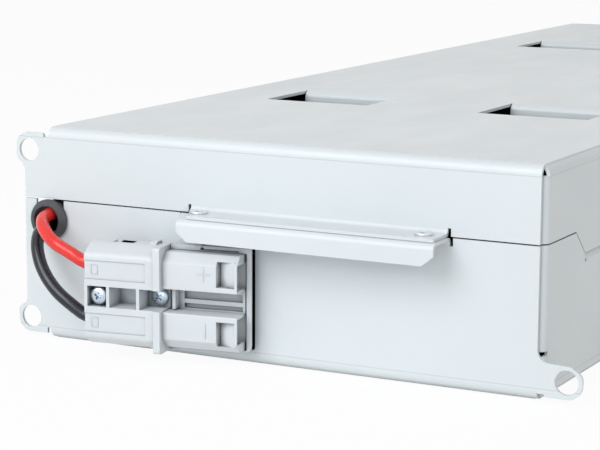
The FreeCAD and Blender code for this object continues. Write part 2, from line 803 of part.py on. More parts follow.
def make_housing():
    body = new_body("housing_body")
    half, front = S.housing_half_height, -S.housing_front
    face = half - S.housing_bevel_height
    shoulder = front + S.housing_bevel_depth
    barrel = [
        (0, -half), (0, half), (shoulder, half, S.housing_dome), (front, face, S.housing_dome / 3),
        (front, -face, S.housing_dome / 3), (shoulder, -half, S.housing_dome),
    ]
    flange_left, flange_right = -S.flange_place, S.flange_thickness - S.flange_place
    pad(body, "housing_barrels", "YZ", -S.housing_length, flange_left, barrel)
    tall, proud = S.flange_half_height, -S.flange_front
    flange = [(0, -tall), (0, tall), (proud, tall, 1.2), (proud, -tall, 1.2)]
    pad(body, "housing_flange", "YZ", flange_left, flange_right, flange)
    crest = half + S.rib_height
    rib = [(0, half - 2), (0, crest), (shoulder + 2, crest, 2), (shoulder - 4, face, 0.5), (shoulder - 2, face - 1)]
    pad(body, "housing_ribs", "YZ", -S.rib_left, -S.rib_right, *upper_and_lower(rib))
    outer, nose = S.blade_outer, -S.blade_front
    blade = [
        (0, S.slot_half + 0.5), (nose, S.slot_half + 0.5, 0.5), (nose, outer - S.blade_bevel, 0.6),
        (nose + S.blade_bevel, outer, 0.6), (0, outer),
    ]
    pad(body, "housing_blades", "YZ", flange_right, -S.blade_end, *upper_and_lower(blade))
    web = rectangle((-S.web_front, 0), (-S.slot_half - 1, S.slot_half + 1))
    pad(body, "housing_web", "YZ", flange_right, -S.blade_end, web)

    slot = (-S.slot_half, S.slot_half)
    left_pocket = (S.divider - S.housing_length, -S.divider_left)
    middle_pocket = (S.divider - S.divider_left, -S.divider_right)
    right_pocket = (S.divider - S.divider_right, flange_right + 0.6)
    pocket(body, "housing_left_pocket", "XZ", proud - 1, -S.pocket_floor, rectangle(left_pocket, slot))
    boss = (-S.screw_place_left, 0, S.screw_boss / 2)
    pad(body, "housing_screw_boss", "XZ", -S.screw_floor_left, -S.pocket_floor, circles=[boss])
    strut = rectangle((left_pocket[0] - 0.4, S.screw_boss / 2 - S.screw_place_left - 5.6), (-0.45, 0.45))
    pad(body, "housing_screw_strut", "XZ", -S.screw_floor_left, -S.pocket_floor + 0.5, strut)
    pocket(body, "housing_middle_pocket", "XZ", proud - 1, -S.web_front, rectangle(middle_pocket, slot))
    pocket(body, "housing_right_pocket", "XZ", proud - 1, -S.screw_floor_right, rectangle(right_pocket, slot))
    end_wall = rectangle((flange_right + 2, flange_right + 2 + S.divider), slot)
    pad(body, "housing_end_wall", "XZ", -S.web_front - 4, -S.web_front, end_wall)
    rail_start, rail_end = flange_right + 2 + S.divider + 2, -S.blade_end - 1
    above_rail = rectangle((rail_start, rail_end), (-S.rail_high, S.slot_half - 1.4))
    below_rail = rectangle((rail_start, rail_end), (-S.slot_half, -S.rail_low))
    pocket(body, "housing_rail", "XZ", -S.web_front - 1, S.rail_depth - S.web_front, above_rail, below_rail)
    panel = rectangle((-S.housing_length - 1, -S.panel_end), (S.panel_inner, S.panel_outer))
    pocket(body, "housing_panels", "XZ", front - 1, front + S.panel_recess, *upper_and_lower(panel))
    mouth = rectangle((-S.window_far, -S.window_near), (S.mouth_inner, S.mouth_outer))
    pocket(body, "housing_mouths", "XZ", nose - 1, nose + S.mouth_depth, *upper_and_lower(mouth))
    dip = rectangle((-S.dip_left, -S.dip_right), (half - 1.6, half + 1))
    pocket(body, "housing_rear_dip", "XZ", -5, 1, dip)

    free = S.contact_clearance
    spread = S.contact_spacing / 2
    bore = S.contact_barrel / 2 + free
    bores = [(-S.contact_out, -spread, bore), (-S.contact_out, spread, bore)]
    pocket(body, "housing_bores", "YZ", -S.housing_length - 1, BARREL_END + free, circles=bores)
    thick = S.contact_thickness / 2 + free
    wide = S.contact_width / 2 + free
    tongue = rectangle((-S.contact_out - thick, thick - S.contact_out), (spread - wide, spread + wide))
    pocket(body, "housing_tongue_slots", "YZ", BARREL_END - TONGUE_ROOT - free, -S.window_far + 0.5,
           *upper_and_lower(tongue))
    shank = S.screw_shank / 2
    left_hole, right_hole = (-S.screw_place_left, 0, shank), (-S.screw_place_right, 0, shank)
    pocket(body, "housing_left_screw_hole", "XZ", -S.screw_floor_left, 1, circles=[left_hole])
    pocket(body, "housing_right_screw_hole", "XZ", -S.screw_floor_right, 1, circles=[right_hole])
    keep_turned(body, "connector_housing")


BARREL_START = S.contact_inset - S.housing_length
BARREL_END = BARREL_START + S.contact_barrel_length
TONGUE_ROOT = 2


def wall_behind(place):
    """How far the front wall lies behind the connector's seat at a place along the connector."""
    tilt = math.radians(S.connector_turn.value)
    return S.connector_out / math.cos(tilt) + place * math.tan(tilt)


def make_carrier():
    """Moulding that seats flat on the front wall and holds the connector at its angle."""
    body = new_body("carrier_body")
    length, toe = S.carrier_length, S.carrier_toe
    rim, rim_front = S.carrier_rim, S.carrier_rim_front
    tall = S.carrier_half_height
    plan = [
        (0, -rim_front, 0.6), (0, -1.6), (-rim, S.carrier_lip), (-toe, S.carrier_lip), (-toe, wall_behind(toe)),
        (-length, wall_behind(length)), (-length, 0),
        (-rim, 0), (-rim, -rim_front, 0.6),
    ]
    pad(body, "carrier_wedge", "XY", -tall, tall, plan)
    root, tip = length - 1, S.carrier_arm_end
    arm = [(-root, 0), (-root, wall_behind(root)), (-tip, wall_behind(tip)), (-tip, 0)]
    pad(body, "carrier_arm", "XY", -S.carrier_arm_height / 2, S.carrier_arm_height / 2, arm)
    flange_right = S.flange_thickness - S.flange_place
    ledge = rectangle((flange_right + 0.2, -rim / 2), (-rim_front, 0))
    inner = S.blade_outer + 0.2
    pad(body, "carrier_upper_ledge", "XY", inner, tall, ledge)
    pad(body, "carrier_lower_ledge", "XY", -tall, -inner, ledge)
    shoulder = rectangle((-length - 1, flange_right), (S.shoulder_height, tall + 1))
    pocket(body, "carrier_shoulders", "XZ", -1, wall_behind(length) + 1, *upper_and_lower(shoulder))
    slot = rectangle((-S.carrier_slot_far, -S.carrier_slot_near), (-rim_front + 1.4, 0.8))
    pocket(body, "carrier_slot", "XY", inner - 1, tall + 1, slot)
    bar = rectangle((-S.carrier_slot_far, -S.carrier_slot_near), (S.carrier_lip, wall_behind(0)))
    pad(body, "carrier_bar", "XY", tall, tall + S.carrier_bar_height, bar)
    corner = [(1, -tall - 1), (1, 5 - tall), (0, 5 - tall), (-1.5, 1.5 - tall), (-5, -tall), (-5, -tall - 1)]
    pocket(body, "carrier_corner", "XZ", -rim_front - 1, 12, corner)
    shank = S.screw_shank / 2
    holes = [(-S.screw_place_left, 0, shank), (-S.screw_place_right, 0, shank)]
    pocket(body, "carrier_screw_holes", "XZ", -1, S.screw_bite, circles=holes)
    pilots = [rod("carrier_pilot_%d" % number, "Y", (-S.carrier_screw_place, height),
                  S.wall - S.carrier_screw_depth, S.wall, S.carrier_screw_shank)
              for number, height in enumerate(CARRIER_SCREWS, start=1)]
    keep(cut("carrier_drilled", turn(body), group("carrier_pilots", pilots)), "connector_carrier")


def screw(name, axis_place, seat, length):
    """Pan-head screw with a cross recess, drawn along y with its head outwards."""
    across = (-axis_place, 0)
    head = rod(name + "_head", "Y", across, -seat - S.screw_head_height, -seat, S.screw_head)
    shank = rod(name + "_shank", "Y", across, -seat, length - seat, S.screw_shank)
    whole = fuse(name + "_whole", [head, shank])
    top = -seat - S.screw_head_height
    arm, half_arm = 1.9, 0.45
    deep = (top - 1, top + 1.3)
    first = block(name + "_slot_a", (-axis_place - arm, arm - axis_place), deep, (-half_arm, half_arm))
    second = block(name + "_slot_b", (-axis_place - half_arm, half_arm - axis_place), deep, (-arm, arm))
    return cut(name, whole, fuse(name + "_recess", [first, second]))


def make_connector_screws():
    left = screw("left_screw", S.screw_place_left, S.screw_floor_left, S.screw_floor_left + S.screw_bite)
    right = screw("right_screw", S.screw_place_right, S.screw_floor_right, S.screw_floor_right + S.screw_bite)
    keep_turned(group("connector_screw_pair", [left, right]), "connector_screws")


def make_contact(name, side):
    """Round crimp barrel with a flat tongue, both on the contact's own axis."""
    height = side * S.contact_spacing / 2
    axis = (-S.contact_out, height)
    barrel = rod(name + "_barrel", "X", axis, BARREL_START, BARREL_END, S.contact_barrel)
    half, wide = S.contact_thickness / 2, S.contact_width / 2
    across = (-S.contact_out - half, half - S.contact_out)
    along = (BARREL_END - TONGUE_ROOT, -S.window_far)
    tongue = block(name + "_tongue", along, across, (height - wide, height + wide))
    keep_turned(fuse(name + "_solid", [barrel, tongue]), name)


def make_carrier_screws():
    """Screws from inside the tray into the back of the carrier."""
    t = S.wall
    screws = []
    for number, height in enumerate(CARRIER_SCREWS, start=1):
        name = "carrier_screw_%d" % number
        across = (-S.carrier_screw_place, height)
        head = rod(name + "_head", "Y", across, t, t + 2, S.carrier_screw_head)
        shank = rod(name + "_shank", "Y", across, t - S.carrier_screw_depth, t, S.carrier_screw_shank)
        screws.append(fuse(name + "_solid", [head, shank]))
    keep(group("carrier_screw_pair", screws), "carrier_screws")


# Batteries

FLOOR = S.wall + S.foam_bottom
BATTERY_TOP = S.case_height - S.wall - S.foam_top
TERMINAL_HEIGHT = BATTERY_TOP - S.terminal_drop
ROW_STARTS = []
for tab in TAB_ROWS:
    ROW_STARTS.append((tab - S.battery_clearance, -1))
    ROW_STARTS.append((tab + S.wall + S.battery_clearance, 1))


def battery_places():
    """Number, column centre, foot of the case and direction of the terminals of each battery."""
    number = 0
    for foot, direction in ROW_STARTS:
        for centre in (-S.column_offset, S.column_offset):
            number += 1
            yield number, centre, foot, direction


def span(start, direction, low, high):
    """A stretch along y that is measured from a battery's foot towards its terminals."""
    if direction > 0:
        return start + low, start + high
    return start - high, start - low


def make_battery(number, centre, foot, direction):
    name = "battery_%d" % number
    half, top = S.battery_width / 2, BATTERY_TOP
    body = new_body(name + "_body")
    r = S.battery_round
    case = [(centre - half, FLOOR, r), (centre + half, FLOOR, r), (centre + half, top, r), (centre - half, top, r)]
    inset = 0.5
    lid = [(centre - half + inset, FLOOR + inset, r), (centre + half - inset, FLOOR + inset, r),
           (centre + half - inset, top - inset, r), (centre - half + inset, top - inset, r)]
    tub = S.battery_length - S.battery_lid
    pad(body, name + "_tub", "XZ", *span(foot, direction, 0, tub), case)
    pad(body, name + "_lid", "XZ", *span(foot, direction, tub, S.battery_length), lid)
    vent = rectangle((centre - half + 12, centre + half - 12), (FLOOR + 14, FLOOR + 44))
    sunk = span(foot, direction, S.battery_length - 0.8, S.battery_length + 1)
    pocket(body, name + "_vent_cover", "XZ", *sunk, vent)
    keep(body, name)


def make_terminals(number, centre, foot, direction):
    tabs = []
    for side in (-1, 1):
        middle = centre + side * S.terminal_offset
        x = (middle - S.terminal_width / 2, middle + S.terminal_width / 2)
        y = span(foot, direction, S.battery_length, S.battery_length + S.terminal_length)
        z = (TERMINAL_HEIGHT - S.terminal_thickness / 2, TERMINAL_HEIGHT + S.terminal_thickness / 2)
        tabs.append(block("terminal_%d_%s" % (number, "ab"[side > 0]), x, y, z))
    keep(group("terminal_pair_%d" % number, tabs), "terminals_%d" % number)


def make_receptacles():
    """Push-on receptacles with their crimps, one on each terminal."""
    items = []
    gap = 0.3
    for number, centre, foot, direction in battery_places():
        for side in (-1, 1):
            name = "receptacle_%d_%s" % (number, "ab"[side > 0])
            middle = centre + side * S.terminal_offset
            start = S.battery_length + 0.5
            near = span(foot, direction, start, start + S.receptacle_length)
            half, tall = S.receptacle_width / 2, S.receptacle_height / 2
            box = block(name + "_box", (middle - half, middle + half), near,
                        (TERMINAL_HEIGHT - tall, TERMINAL_HEIGHT + tall))
            far = span(foot, direction, start + S.receptacle_length - 0.5, S.battery_length + S.receptacle_total)
            crimp = rod(name + "_crimp", "Y", (middle, TERMINAL_HEIGHT), *far, S.crimp_diameter)
            slit = block(name + "_slit", (middle - half + 0.6, middle + half - 0.6),
                         span(foot, direction, start - 1, S.battery_length + S.terminal_length + gap),
                         (TERMINAL_HEIGHT - 0.5, TERMINAL_HEIGHT + 0.5))
            items.append(cut(name, fuse(name + "_whole", [box, crimp]), slit))
    keep(group("receptacle_set", items), "receptacles")


# Leads: straight runs that are joined by tangent arcs

def corner_radius(before, corner, after):
    """The largest arc that the two runs beside a corner allow."""
    run_in, run_out = before - corner, after - corner
    half_turn = (math.pi - run_in.getAngle(run_out)) / 2
    return 0.45 * min(run_in.Length, run_out.Length) / math.tan(half_turn)


def route_wire(points):
    """Runs and arcs through a list of points, and the radii of the arcs."""
    edges, radii = [], []
    start = points[0]
    for before, corner, after in zip(points, points[1:], points[2:]):
        radius = corner_radius(before, corner, after)
        radii.append(round(radius, 1))
        to_before = (before - corner).normalize()
        to_after = (after - corner).normalize()
        half = to_before.getAngle(to_after) / 2
        enter = corner + to_before * (radius / math.tan(half))
        leave = corner + to_after * (radius / math.tan(half))
        middle_way = (to_before + to_after).normalize()
        middle = corner + middle_way * (radius / math.sin(half) - radius)
        edges.append(Part.LineSegment(start, enter).toShape())
        edges.append(Part.Arc(enter, middle, leave).toShape())
        start = leave
    edges.append(Part.LineSegment(start, points[-1]).toShape())
    return Part.Wire(edges), radii


def make_tube(label, points, diameter):
    path, radii = route_wire([FreeCAD.Vector(*point) for point in points])
    ends = path.Edges[0]
    start = ends.valueAt(ends.FirstParameter)
    along = ends.tangentAt(ends.FirstParameter)
    ring = Part.Wire([Part.makeCircle(diameter / 2, start, along)])
    tube = path.makePipeShell([ring], True, False)
    item = DOC.addObject("Part::Feature", label + "_tube")
    item.Shape = tube
    keep(item, label)
    expected = math.pi * diameter ** 2 / 4 * path.Length
    print(label, "length %.1f" % path.Length, "radii", radii, "volume ratio %.4f" % (tube.Volume / expected))


def connector_point(x, y, z):
    """A point of the connector's turned frame, in the frame of the case."""
    turn = FreeCAD.Rotation(FreeCAD.Vector(0, 0, 1), S.connector_turn.value)
    origin = FreeCAD.Vector(-S.connector_left.value, -S.connector_out.value, S.connector_height.value)
    return origin + turn.multVec(FreeCAD.Vector(x, y, z))


def wiring_end(number, side):
    """Where a lead leaves the receptacle of a battery, and the way it points."""
    for found, centre, foot, direction in battery_places():
        if found == number:
            reach = S.battery_length.value + S.receptacle_total.value
            x = centre.value + side * S.terminal_offset.value
            return FreeCAD.Vector(x, foot.value + direction * reach, TERMINAL_HEIGHT.value), direction


RED_ROUTE = [
    (-88, 29, 59.5), (-94, 19.5, 54.5), (-99.7, 9.5, 49.6), (-99.6, -6, 49.5), (-95.4, -13.6, 47.2),
    (-87.6, -18.6, 42.6), (-79.5, -19.5, 39.6),
]
BLACK_ROUTE = [
    (80.5, 29.5, 60.6), (69, 24.2, 58.6), (48, 22.4, 57.2), (14, 21.6, 55.6), (-28, 22.6, 54), (-58, 24.5, 51.6),
    (-77, 24.2, 49.3), (-89, 20.5, 47.4), (-96.8, 13.6, 45.4), (-101.3, 5.2, 44.6), (-101.3, -4.6, 44.3),
    (-100, -9.8, 42), (-97.4, -14, 37), (-92.6, -17.4, 30.4), (-85.5, -19.4, 23.8), (-78.5, -19.3, 19.2),
]
LEAD_STRAIGHT = 8


def make_leads():
    """The two leads, from the front batteries through the grommet into the connector."""
    spread = S.contact_spacing.value / 2
    mouth = -S.housing_length.value - 1
    out = -S.contact_out.value
    for label, number, side, height, route in (
        ("lead_red", 1, -1, spread, RED_ROUTE), ("lead_black", 2, 1, -spread, BLACK_ROUTE),
    ):
        start, way = wiring_end(number, side)
        first = start + FreeCAD.Vector(0, way * LEAD_STRAIGHT, 0)
        last = [connector_point(mouth, out, height), connector_point(BARREL_START.value, out, height)]
        make_tube(label, [start, first] + route + last, S.lead_diameter.value)


def loop_back(start, way, lane):
    """Points that lead a jumper out of a receptacle and back into a lane beside it."""
    reach, straight = S.jumper_reach.value, S.jumper_straight.value
    across = lane - start.x
    steps = ((0, 0), (0, straight), (0.28, reach), (0.72, reach), (1, straight))
    return [start + FreeCAD.Vector(across * share, way * out, 0) for share, out in steps]


def make_jumpers():
    """Jumpers that put the batteries in series: down one column and back up the other."""
    diameter = S.jumper_diameter.value
    rows = 2 * len(TAB_ROWS)
    for row in range(1, rows):
        for jumper, first, side in ((row, 2 * row - 1, 1), (2 * rows - row, 2 * row, -1)):
            points = around_tab(first, side) if row % 2 else between_groups(first, -side)
            make_tube("jumper_%d" % jumper, points, diameter)
    make_tube("jumper_%d" % rows, across_the_rear(2 * rows - 1), diameter)


def around_tab(first, side):
    """From a battery in front of a tab row to the one behind it, by a lane between the columns."""
    lane = -side * S.jumper_channel.value
    there = loop_back(*wiring_end(first, side), lane)
    back = loop_back(*wiring_end(first + 2, side), lane)
    return there + back[::-1]


def between_groups(first, side):
    """From a battery to the next one behind it, whose terminals face it."""
    ahead = FreeCAD.Vector(0, S.jumper_straight.value, 0)
    start, end = wiring_end(first, side)[0], wiring_end(first + 2, side)[0]
    sag = FreeCAD.Vector(-side, 0, -1) * S.jumper_diameter.value
    third = (end - start) / 3
    return [start, start + ahead, start + third + sag, end - third + sag, end - ahead, end]


def across_the_rear(last):
    """From the last battery of one column to the last of the other."""
    start, end = wiring_end(last, -1)[0], wiring_end(last + 1, 1)[0]
    reach, dip = S.jumper_rear_reach.value, S.jumper_dip.value
    shares = ((0, 0, 0), (0, 0.5, 0), (0.35, 0.9, 0.3), (1.2, 1, 0.8), (3.2, 1, dip / reach))
    steps = [FreeCAD.Vector(across, behind, -down) * reach for across, behind, down in shares]
    points = [start + step for step in steps]
    return points + [end + FreeCAD.Vector(-step.x, step.y, step.z) for step in reversed(steps)]


# Foam

def make_foam():
    t, depth, top = S.wall, S.case_depth, S.case_height
    outer = S.column_offset + S.battery_width / 2
    length = S.battery_length
    starts = [place for place, direction in ROW_STARTS]
    front, back = starts[0] - length, starts[-1] + length
    clear = S.bend_radius + 0.5
    tall = (t, t + S.spacer_height)
    low = (t, t + S.spacer_low_height)
    inner = HALF_WIDTH - S.return_width - 1
    middle = S.column_offset - S.battery_width / 2 + 1
    single = {
        "foam_bottom": ((-outer, outer), (front, back), (t, FLOOR)),
        "spacer_front_right": ((middle, inner), (clear, front), tall),
        "spacer_front_left": ((-inner, -middle), (clear * 3, front), low),
        "spacer_rear": ((-inner, inner), (back, depth - clear), low),
    }
    for label, spans in single.items():
        keep(group(label + "_sheet", [block(label + "_block", *spans)]), label)
    gaps = zip(starts[1::2], starts[2::2])
    between = []
    for number, (behind, ahead) in enumerate(gaps, start=1):
        name = "spacer_middle_%d" % number
        between.append(block(name, (-outer, outer), (behind + length, ahead - length), (FLOOR, tall[1])))
    if between:
        keep(group("spacer_middle_set", between), "spacer_middle")
    rise = (S.bend_radius + 1, S.bend_radius + S.foam_side_height)
    edge = HALF_WIDTH - t
    sides = [block("foam_side_right", (outer, edge), (front, back), rise),
             block("foam_side_left", (-edge, -outer), (front, back), rise)]
    keep(group("foam_side_pair", sides), "foam_sides")
    margin = S.foam_top_margin
    rows = [(foot - length + margin, foot - S.window_depth - margin) if direction < 0
            else (foot + margin, foot + length - margin) for foot, direction in ROW_STARTS]
    across = (margin - outer, outer - margin)
    strips = [block("foam_top_strip_%d" % place, across, row, (BATTERY_TOP, top - t))
              for place, row in enumerate(rows, start=1)]
    keep(group("foam_top_set", strips), "foam_top")


def check_and_write():
    """Stops on a failed object or a shape that isn't sound, then writes one file for each sub-part."""
    DOC.recompute()
    failed = [item.Name for item in DOC.Objects if "Invalid" in item.State or "Error" in item.State]
    if failed:
        raise RuntimeError("failed objects: " + ", ".join(failed))
    for item in NODES:
        if item.Shape.isNull() or not item.Shape.isValid():
            raise RuntimeError("unsound shape: " + item.Label)
    os.makedirs("parts", exist_ok=True)
    for item in NODES:
        item.Shape.exportStep("parts/%s.step" % item.Label)
        print(item.Label, len(item.Shape.Solids), "solids", round(item.Shape.Volume), "mm3")


def main():
    make_tray()
    make_cover()
    make_handle_rivets()
    make_rear_rivets()
    make_grommet()
    make_housing()
    make_carrier()
    make_connector_screws()
    make_carrier_screws()
    make_contact("contact_positive", 1)
    make_contact("contact_negative", -1)
    for place in battery_places():
        make_battery(*place)
        make_terminals(*place)
    make_receptacles()
    DOC.recompute()
    make_leads()
    make_jumpers()
    make_foam()
    check_and_write()


main()
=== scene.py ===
import math

import bmesh
import bpy
from bpy.props import FloatProperty, FloatVectorProperty, IntProperty, PointerProperty
from mathutils import Euler, Matrix, Vector


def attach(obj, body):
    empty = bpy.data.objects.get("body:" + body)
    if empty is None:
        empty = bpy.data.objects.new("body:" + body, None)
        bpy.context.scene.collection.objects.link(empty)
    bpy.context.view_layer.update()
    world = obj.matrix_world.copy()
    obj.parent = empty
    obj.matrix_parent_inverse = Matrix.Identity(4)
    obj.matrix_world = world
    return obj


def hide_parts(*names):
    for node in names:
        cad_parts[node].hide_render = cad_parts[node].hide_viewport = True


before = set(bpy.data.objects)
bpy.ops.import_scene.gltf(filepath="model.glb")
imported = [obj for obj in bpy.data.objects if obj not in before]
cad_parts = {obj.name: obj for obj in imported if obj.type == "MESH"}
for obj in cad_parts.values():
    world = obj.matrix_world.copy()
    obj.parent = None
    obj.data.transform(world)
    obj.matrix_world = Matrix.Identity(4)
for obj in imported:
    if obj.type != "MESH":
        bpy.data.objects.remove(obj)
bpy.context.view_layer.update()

bl_info = {
    "name": "Battery cartridge",
    "version": (1, 0, 0),
    "blender": (4, 5, 0),
    "location": "3D View > Sidebar > Cartridge",
    "description": "Finishes, leads, screws and studio of a sheet-metal battery cartridge",
    "category": "Object",
}

MM = 0.001

# The front face of the case along y, and the middle of the grommet in it
FRONT = -0.292
GROMMET_CENTRE = (-100.6 * MM, FRONT, 47 * MM)

# The connector is drawn in a frame of its own: x along it, -y outwards, z = 0 on its middle line
CONNECTOR_ORIGIN = Vector((-8.5 * MM, FRONT - 2 * MM, 24.6 * MM))
CONNECTOR_TURN = math.radians(8)
CONNECTOR_FRAME = Matrix.Translation(CONNECTOR_ORIGIN) @ Matrix.Rotation(CONNECTOR_TURN, 4, "Z")

# Route points and lengths of the two leads in millimetres, with y = 0 on the front face of the case
RED_ROUTE = [
    (-85, 44.7, 62), (-85, 36.7, 62), (-88, 29, 59.5), (-94, 19.5, 54.5), (-99.7, 9.5, 49.6),
    (-99.6, -6, 49.5), (-95.4, -13.6, 47.2), (-87.6, -18.6, 42.6), (-79.5, -19.5, 39.6),
]
BLACK_ROUTE = [
    (85, 44.7, 62), (85, 36.7, 62), (80.5, 29.5, 60.6), (69, 24.2, 58.6), (48, 22.4, 57.2),
    (14, 21.6, 55.6), (-28, 22.6, 54), (-58, 24.5, 51.6), (-77, 24.2, 49.3), (-89, 20.5, 47.4),
    (-96.8, 13.6, 45.4), (-101.3, 5.2, 44.6), (-101.3, -4.6, 44.3), (-100, -9.8, 42), (-97.4, -14, 37),
    (-92.6, -17.4, 30.4), (-85.5, -19.4, 23.8), (-78.5, -19.3, 19.2),
]
RED_LENGTH = 100.2
BLACK_LENGTH = 272.7

# Places in the connector's frame in millimetres
BORE_MOUTH = -64.5
BARREL_START = -57.5
CONTACT_OUT = -7
CONTACT_HALF_SPACING = 10.2
PANEL_FRONT = -13
BLADE_FRONT = -12
RIM_FRONT = -4

# Edges that turn by more than the angle are eased, on fasteners and cutters by these widths
EASED_ANGLE = math.radians(38)
FASTENER_EDGE = 0.2 * MM
CUTTER_EDGE = 0.05 * MM


def colour(name, text, default):
    return FloatVectorProperty(name=name, description=text, subtype="COLOR", min=0, max=1, default=default)


def length(name, text, default):
    return FloatProperty(
        name=name, description=text, subtype="DISTANCE", unit="LENGTH", min=0, default=default)


def share(name, text, default):
    return FloatProperty(name=name, description=text, subtype="FACTOR", min=0, max=1, default=default)


def bearing(name, text, degrees):
    return FloatProperty(name=name, description=text, subtype="ANGLE", default=math.radians(degrees))


def power(name, text, default):
    return FloatProperty(name=name, description=text, subtype="POWER", unit="POWER", min=0, default=default)


def amount(name, text, default):
    return FloatProperty(name=name, description=text, min=0, default=default)


class CartridgeCaseSettings(bpy.types.PropertyGroup):
    sheet: colour("Sheet", "Colour of the coated sheet steel", (0.655, 0.695, 0.705))
    # The cloud colour also sets the hue of the painted crease shade
    sheet_shade: colour("Sheet shade", "Colour of the faint clouds in the coating", (0.625, 0.664, 0.674))
    roughness: share("Roughness", "Roughness of the coating", 0.36)
    edge: length("Eased edge", "Width of the eased edges of the sheet", 0.14 * MM)
    # The creases are painted shade: dark lines at these heights, where the bends meet the flat sheet
    crease_shade_top: length("Upper crease", "Height of the crease under the upper bends", 78.8 * MM)
    crease_shade_foot: length("Lower crease", "Height of the crease over the lower bends", 4.5 * MM)
    crease_shade_width: length("Crease width", "Half the width of the creases", 0.28 * MM)
    crease_shade_depth: amount("Crease depth", "Darkness of the creases", 3.5)
    rivet: colour("Rivet", "Colour of the rivets", (0.80, 0.82, 0.84))


class CartridgeConnectorSettings(bpy.types.PropertyGroup):
    plastic: colour("Plastic", "Colour of the moulded housing", (0.635, 0.668, 0.685))
    plastic_shade: colour("Plastic shade", "Colour of the faint flow clouds", (0.60, 0.632, 0.648))
    edge: length("Eased edge", "Radius of the moulded edges", 0.3 * MM)
    rim_skin: length("Rim skin", "Thickness of the carrier's free edge", 0.9 * MM)
    mark_width: length("Mark width", "Stroke of the polarity marks", 0.55 * MM)
    mark_size: length("Mark size", "Width of the plus mark", 5.6 * MM)
    mark_height: length("Mark height", "How far the marks stand out", 0.22 * MM)


class CartridgeScrewSettings(bpy.types.PropertyGroup):
    zinc: colour("Zinc", "Colour of the zinc plating", (0.60, 0.68, 0.76))
    head: length("Head", "Diameter of the screw heads", 6.6 * MM)
    head_height: length("Head height", "Height of the screw heads", 2.4 * MM)
    shank: length("Shank", "Diameter of the screw shanks", 3.5 * MM)
    segments: IntProperty(name="Segments", description="Sides of the round pieces", min=12, default=48)


class CartridgeLeadSettings(bpy.types.PropertyGroup):
    diameter: length("Diameter", "Outer diameter of the two leads", 5 * MM)
    red: colour("Red", "Colour of the positive lead", (0.70, 0.024, 0.017))
    black: colour("Black", "Colour of the negative lead", (0.007, 0.011, 0.016))


class CartridgeGrommetSettings(bpy.types.PropertyGroup):
    rubber: colour("Rubber", "Colour of the grommet", (0.052, 0.055, 0.06))
    bore: length("Bore", "Diameter of the hole for the leads", 10.8 * MM)
    groove: length("Groove", "Diameter of the groove in which the front wall sits", 12.6 * MM)
    flange: length("Flange", "Diameter of the flange before the front wall", 16 * MM)
    back: length("Back", "Diameter of the skirt behind the front wall", 14.6 * MM)
    proud: length("Proud", "How far the flange stands out", 3.2 * MM)
    chamfer: length("Chamfer", "How much the flange narrows to its front", 1.2 * MM)
    wall: length("Wall", "Thickness of the front wall", 1.2 * MM)
    skirt: length("Skirt", "How far the grommet reaches behind the front face", 9.5 * MM)
    edge: length("Eased edge", "Radius of the moulded edges", 0.5 * MM)


class CartridgeStageSettings(bpy.types.PropertyGroup):
    camera_place: FloatVectorProperty(
        name="Camera place", description="Where the camera stands", subtype="TRANSLATION", unit="LENGTH",
        default=(0.35585, -0.96348, 0.18792))
    camera_turn: bearing("Camera turn", "Turn to the left", 27.367)
    camera_tilt: bearing("Camera tilt", "Tilt downwards", 10.029)
    camera_roll: bearing("Camera roll", "Roll about the view", 0.321)
    lens: FloatProperty(name="Lens", description="Focal length in millimetres", min=1, default=126.79)
    key_power: power("Key power", "Power of the front softbox", 32)
    top_power: power("Top power", "Power of the softbox above", 0.4)
    fill_power: power("Fill power", "Power of the low softbox in front", 8)
    side_power: power("Side power", "Power of the softbox at the right", 5)
    sky: amount("Sky", "Strength of the even light from all round", 0.5)
    floor_width: length("Floor width", "Width of the paper floor", 12)


# Materials

